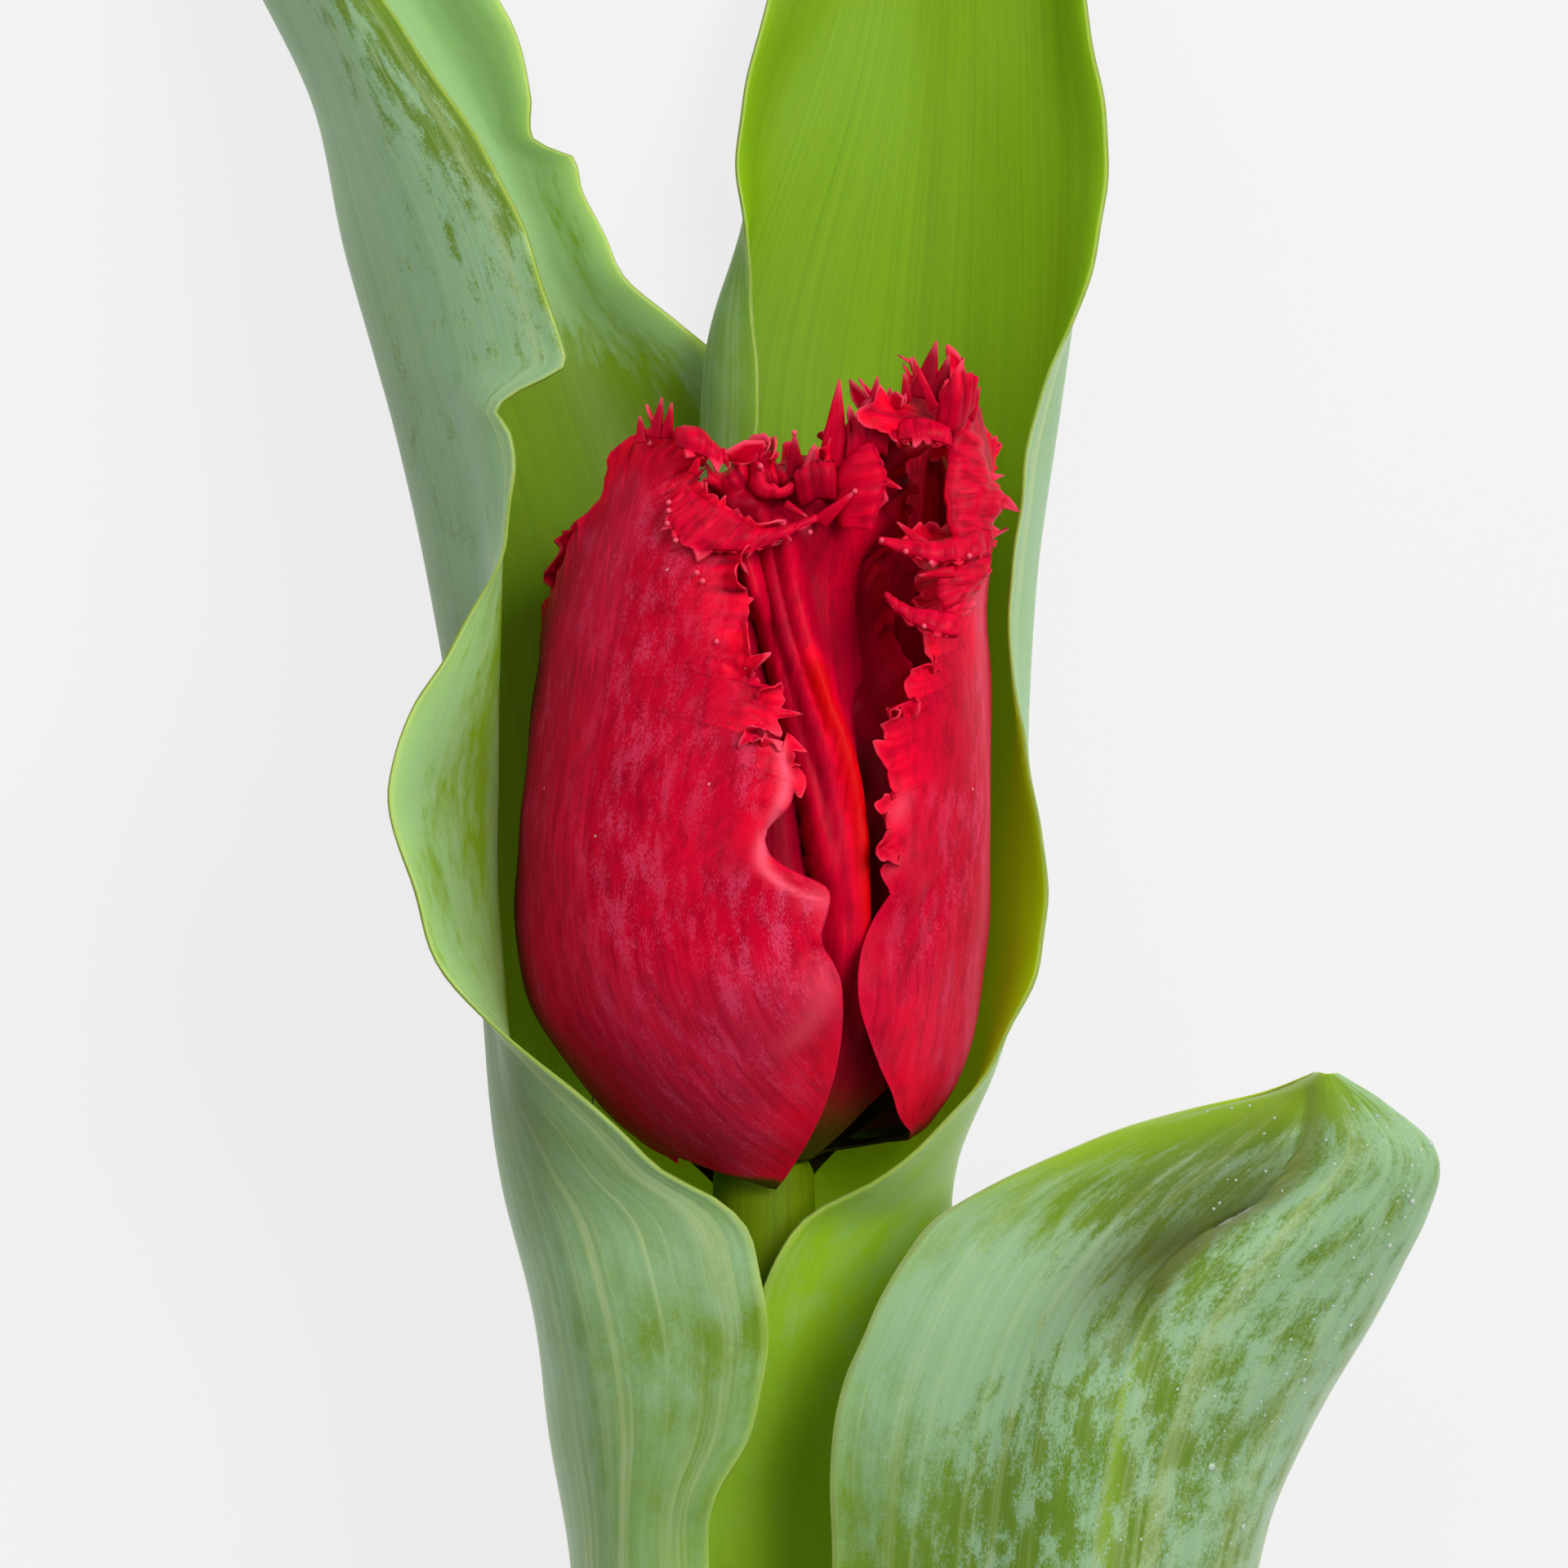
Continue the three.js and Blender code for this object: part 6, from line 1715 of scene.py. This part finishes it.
def length(name, description, millimetres):
    """A setting in metres, from its default in millimetres."""
    return bpy.props.FloatProperty(
        name=name, description=description, default=millimetres * MM, min=0, unit="LENGTH",
        precision=5)


def factor(name, description, default):
    """A setting without a unit."""
    return bpy.props.FloatProperty(
        name=name, description=description, default=default, min=0, max=10, subtype="FACTOR")


class TulipStemSettings(bpy.types.PropertyGroup):
    """Settings of the stem"""
    skin_colour: colour("Skin", "Main colour of the stem", (78, 98, 0))
    streak_colour: colour("Streaks", "Colour of the streaks along the stem", (100, 124, 0))
    wax_colour: colour("Wax", "Colour of the wax on the stem", (140, 160, 90))


class TulipLeafSettings(bpy.types.PropertyGroup):
    """Settings of the leaves"""
    thickness: length("Thickness", "Thickness of a leaf along its middle", LEAF_THICKNESS)
    translucency: factor("Translucency", "How far light shines through a leaf", 0.85)
    glow_depth: length("Glow depth", "How deep light gets into a leaf", 1.4)
    # painted_glow: the inside of a leaf glows, as painted light for light shining through it.
    painted_glow: factor("Glow", "Light from all round that comes through to the inside", 0.2)
    sheen: factor("Sheen", "Strength of the pale sheen of the wax at a slant", 0.25)
    wax_colour: colour("Wax", "Blue-green wax on the outside", (128, 166, 124))
    pale_wax_colour: colour("Pale wax", "Wax over the raised veins", (156, 186, 154))
    green_colour: colour("Green", "Green of the outside under the wax", (106, 138, 26))
    rubbed_colour: colour("Rubbed green", "Green where the wax is rubbed off", (86, 118, 10))
    # painted_shade_colour: painted shade for the hollow parts of a leaf.
    painted_shade_colour: colour("Shaded green", "Dull green of the hollow parts", (70, 82, 20))
    # lime_colour: bright lime green, partly standing for light that shines through a leaf.
    lime_colour: colour("Fresh green", "Bright green of the young parts", (134, 170, 6))
    inner_colour: colour("Inside", "Main colour of the inside", (102, 140, 16))
    inner_pale_colour: colour("Inside veins", "Paler colour of the inside's veins", (118, 154, 16))
    inner_wax_colour: colour("Inside wax", "Waxy green of the inside", (140, 176, 118))
    vein_colour: colour("Veins", "Raised veins of the outside", (172, 186, 132))
    margin_colour: colour("Margin", "Thin pale margin", (150, 172, 88))


class TulipFlowerSettings(bpy.types.PropertyGroup):
    """Settings of the tepals"""
    fringe: length("Fringe", "Length of the middling teeth of the fringe", 1.3)
    ruffle: length("Ruffle", "How far the margins wave in and out", 0.6)
    sheen: factor("Sheen", "Strength of the dusty sheen at a slant", 0.05)
    outer_colour: colour("Outside", "Crimson of the outside", (216, 0, 46))
    deep_colour: colour("Outside veins", "Darker crimson of the veins outside", (146, 0, 30))
    bright_colour: colour("Outside flush", "Brighter flush on the outside", (222, 0, 46))
    flush_colour: colour("Flush", "Brighter crimson near the margins", (230, 0, 40))
    scarlet_colour: colour("Scarlet", "Scarlet of the ridges inside the flower", (198, 0, 2))
    # shade_and_mottle_colour: painted shade where flush_and_shade is negative, and the darker
    # mottling.
    shade_and_mottle_colour: colour("Dusk", "Dark crimson of the older parts", (98, 0, 18))
    # bloom_and_sheen_colour: the dusty bloom, the sheen's tint, and the painted sheen in the dust
    # bands.
    bloom_and_sheen_colour: colour("Bloom", "Dusty bloom on the outside", (206, 60, 96))
    inner_colour: colour("Inside", "Crimson of the inside", (226, 4, 54))
    inner_deep_colour: colour("Inside veins", "Darker red of the veins inside", (164, 0, 28))
    edge_colour: colour("Edge", "Brighter red of the thin edge", (236, 16, 62))
    # fringe_and_highlight_colour: the pink tips of the fringe and the painted pink highlights.
    fringe_and_highlight_colour: colour("Fringe tips", "Pink tips of the fringe", (232, 80, 104))
    claw_colour: colour("Claw", "Olive of the claw", (64, 62, 4))


class TulipStageSettings(bpy.types.PropertyGroup):
    """Settings of the floor, the lights and the camera"""
    floor_size: length("Floor", "Width of the floor", 4000)
    floor_colour: colour("Floor colour", "Colour of the floor", (84, 84, 84))
    camera_height: length("Camera height", "Camera above the axis of the flower", 900)
    view_width: length("View", "Width that the camera sees at the axis of the flower", 112.94)
    view_right: length("View to the right", "Middle of the view, right of the flower's axis", 1.47)
    view_up: length("View up", "Middle of the view, up from the flower's foot", 28.24)
    key: factor("Key light", "Brightness of the key light on the floor", 1.1)
    fill: factor("Fill light", "Brightness of the weaker light from the left", 0.35)
    surroundings: factor("Surroundings", "Brightness of the light from all round", 0.26)
    floor_glow: factor("Floor glow", "Light that the floor gives off by itself", 0.79)


# ------------------------------------------------------------------------------ operators

INSIDE_UP = ("leaf_upper",)  # leaves whose inside faces the viewer
KEY_PLACE, KEY_WIDTH = (0.55, 0.35, 0.75), 0.6  # the place in metres from the middle of the view
FILL_PLACE, FILL_WIDTH = (-0.5, 0.45, 0.8), 0.8
SENSOR_WIDTH = 36  # millimetres


class TULIP_OT_stem(bpy.types.Operator):
    """Make the stem with its receptacle"""
    bl_idname = "tulip.stem"
    bl_label = "Stem"

    def execute(self, context):
        settings = context.scene.tulip_stem
        make_stem(stem_skin(settings), stem_cut())
        return {"FINISHED"}


class TULIP_OT_leaves(bpy.types.Operator):
    """Make the three leaves"""
    bl_idname = "tulip.leaves"
    bl_label = "Leaves"

    def execute(self, context):
        settings = context.scene.tulip_leaf
        outer, inner, rim = leaf_outer_face(settings), leaf_inner_face(settings), leaf_rim(settings)
        for name in LEAVES:
            faces = [inner, outer, rim] if name in INSIDE_UP else [outer, inner, rim]
            make_leaf(name, faces, settings.thickness / MM)
        return {"FINISHED"}


class TULIP_OT_dew(bpy.types.Operator):
    """Make the drops of dew on the lower leaf"""
    bl_idname = "tulip.dew"
    bl_label = "Dew"

    def execute(self, context):
        make_dew(water())
        return {"FINISHED"}


class TULIP_OT_tepals(bpy.types.Operator):
    """Make the three outer and three inner fringed tepals"""
    bl_idname = "tulip.tepals"
    bl_label = "Tepals"

    def execute(self, context):
        settings = context.scene.tulip_flower
        outside, inside = tepal_outer_face(settings), tepal_inner_face(settings)
        for name in TEPALS:
            make_tepal(name, settings.fringe / MM, settings.ruffle / MM, [outside, inside, outside])
        return {"FINISHED"}


class TULIP_OT_pistil(bpy.types.Operator):
    """Make the pistil"""
    bl_idname = "tulip.pistil"
    bl_label = "Pistil"

    def execute(self, context):
        make_pistil(pistil_skin())
        return {"FINISHED"}


class TULIP_OT_stamens(bpy.types.Operator):
    """Make the six stamens"""
    bl_idname = "tulip.stamens"
    bl_label = "Stamens"

    def execute(self, context):
        skin = anther_skin()
        for index in range(STAMEN_COUNT):
            make_stamen(index, skin)
        return {"FINISHED"}


def soft_light(name, place, target, width, irradiance):
    """A square soft light that shines from a place to a target, both in metres, and is
    irradiance bright on a surface that faces it there."""
    away = np.array(place) - np.array(target)
    distance = float(np.linalg.norm(away))
    light = bpy.data.lights.new(name, "AREA")
    light.size = width
    light.energy = irradiance * math.pi * distance ** 2 * math.pi
    lamp = bpy.data.objects.new(name, light)
    lamp.location = place
    lamp.rotation_euler = mathutils.Vector(away).to_track_quat("Z", "Y").to_euler()
    bpy.context.scene.collection.objects.link(lamp)


class TULIP_OT_stage(bpy.types.Operator):
    """Make the pale floor, the soft light and the camera that looks straight down"""
    bl_idname = "tulip.stage"
    bl_label = "Stage"

    def execute(self, context):
        settings = context.scene.tulip_stage
        half = settings.floor_size / 2
        mesh = bpy.data.meshes.new("floor")
        mesh.from_pydata([(-half, -half, 0), (half, -half, 0), (half, half, 0), (-half, half, 0)],
                         [], [(0, 1, 2, 3)])
        mesh.materials.append(plain_floor(settings))
        floor = bpy.data.objects.new("floor", mesh)
        context.scene.collection.objects.link(floor)

        world = bpy.data.worlds.new("surroundings")
        world.use_nodes = True
        sky = world.node_tree.nodes["Background"]
        sky.inputs["Color"].default_value = WHITE
        sky.inputs["Strength"].default_value = settings.surroundings
        context.scene.world = world
        middle = FOOT + np.array((settings.view_right, settings.view_up, 0))
        soft_light("key_light", middle + KEY_PLACE, middle, KEY_WIDTH, settings.key)
        soft_light("fill_light", middle + FILL_PLACE, middle, FILL_WIDTH, settings.fill)

        lens = bpy.data.cameras.new("camera")
        lens.sensor_width = SENSOR_WIDTH
        lens.lens = lens.sensor_width * settings.camera_height / settings.view_width
        camera = bpy.data.objects.new("camera", lens)
        camera.location = middle + (0, 0, settings.camera_height)
        context.scene.collection.objects.link(camera)
        context.scene.camera = camera
        context.scene.view_settings.view_transform = "Standard"
        return {"FINISHED"}


class TULIP_PT_sidebar(bpy.types.Panel):
    """The pieces of the tulip and their settings"""
    bl_idname = "TULIP_PT_sidebar"
    bl_label = "Fringed tulip"
    bl_space_type = "VIEW_3D"
    bl_region_type = "UI"
    bl_category = "Tulip"

    def draw(self, context):
        for operator in OPERATORS:
            self.layout.operator(operator.bl_idname)
        for name in SETTINGS:
            box = self.layout.box()
            settings = getattr(context.scene, name)
            for key in settings.__annotations__:
                box.prop(settings, key)


SETTINGS = {"tulip_stem": TulipStemSettings, "tulip_leaf": TulipLeafSettings,
            "tulip_flower": TulipFlowerSettings, "tulip_stage": TulipStageSettings}
OPERATORS = [TULIP_OT_stem, TULIP_OT_leaves, TULIP_OT_dew, TULIP_OT_tepals, TULIP_OT_pistil,
             TULIP_OT_stamens, TULIP_OT_stage]


def register():
    """Register the classes, and the settings as properties of the scene."""
    for cls in [*SETTINGS.values(), *OPERATORS, TULIP_PT_sidebar]:
        bpy.utils.register_class(cls)
    for name, cls in SETTINGS.items():
        setattr(bpy.types.Scene, name, bpy.props.PointerProperty(type=cls))


def unregister():
    """Take everything back that register adds."""
    for name in SETTINGS:
        delattr(bpy.types.Scene, name)
    for cls in reversed([*SETTINGS.values(), *OPERATORS, TULIP_PT_sidebar]):
        bpy.utils.unregister_class(cls)


def main():
    """Register the add-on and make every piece."""
    register()
    for operator in OPERATORS:
        family, name = operator.bl_idname.split(".")
        getattr(getattr(bpy.ops, family), name)()


if __name__ == "__main__":
    main()
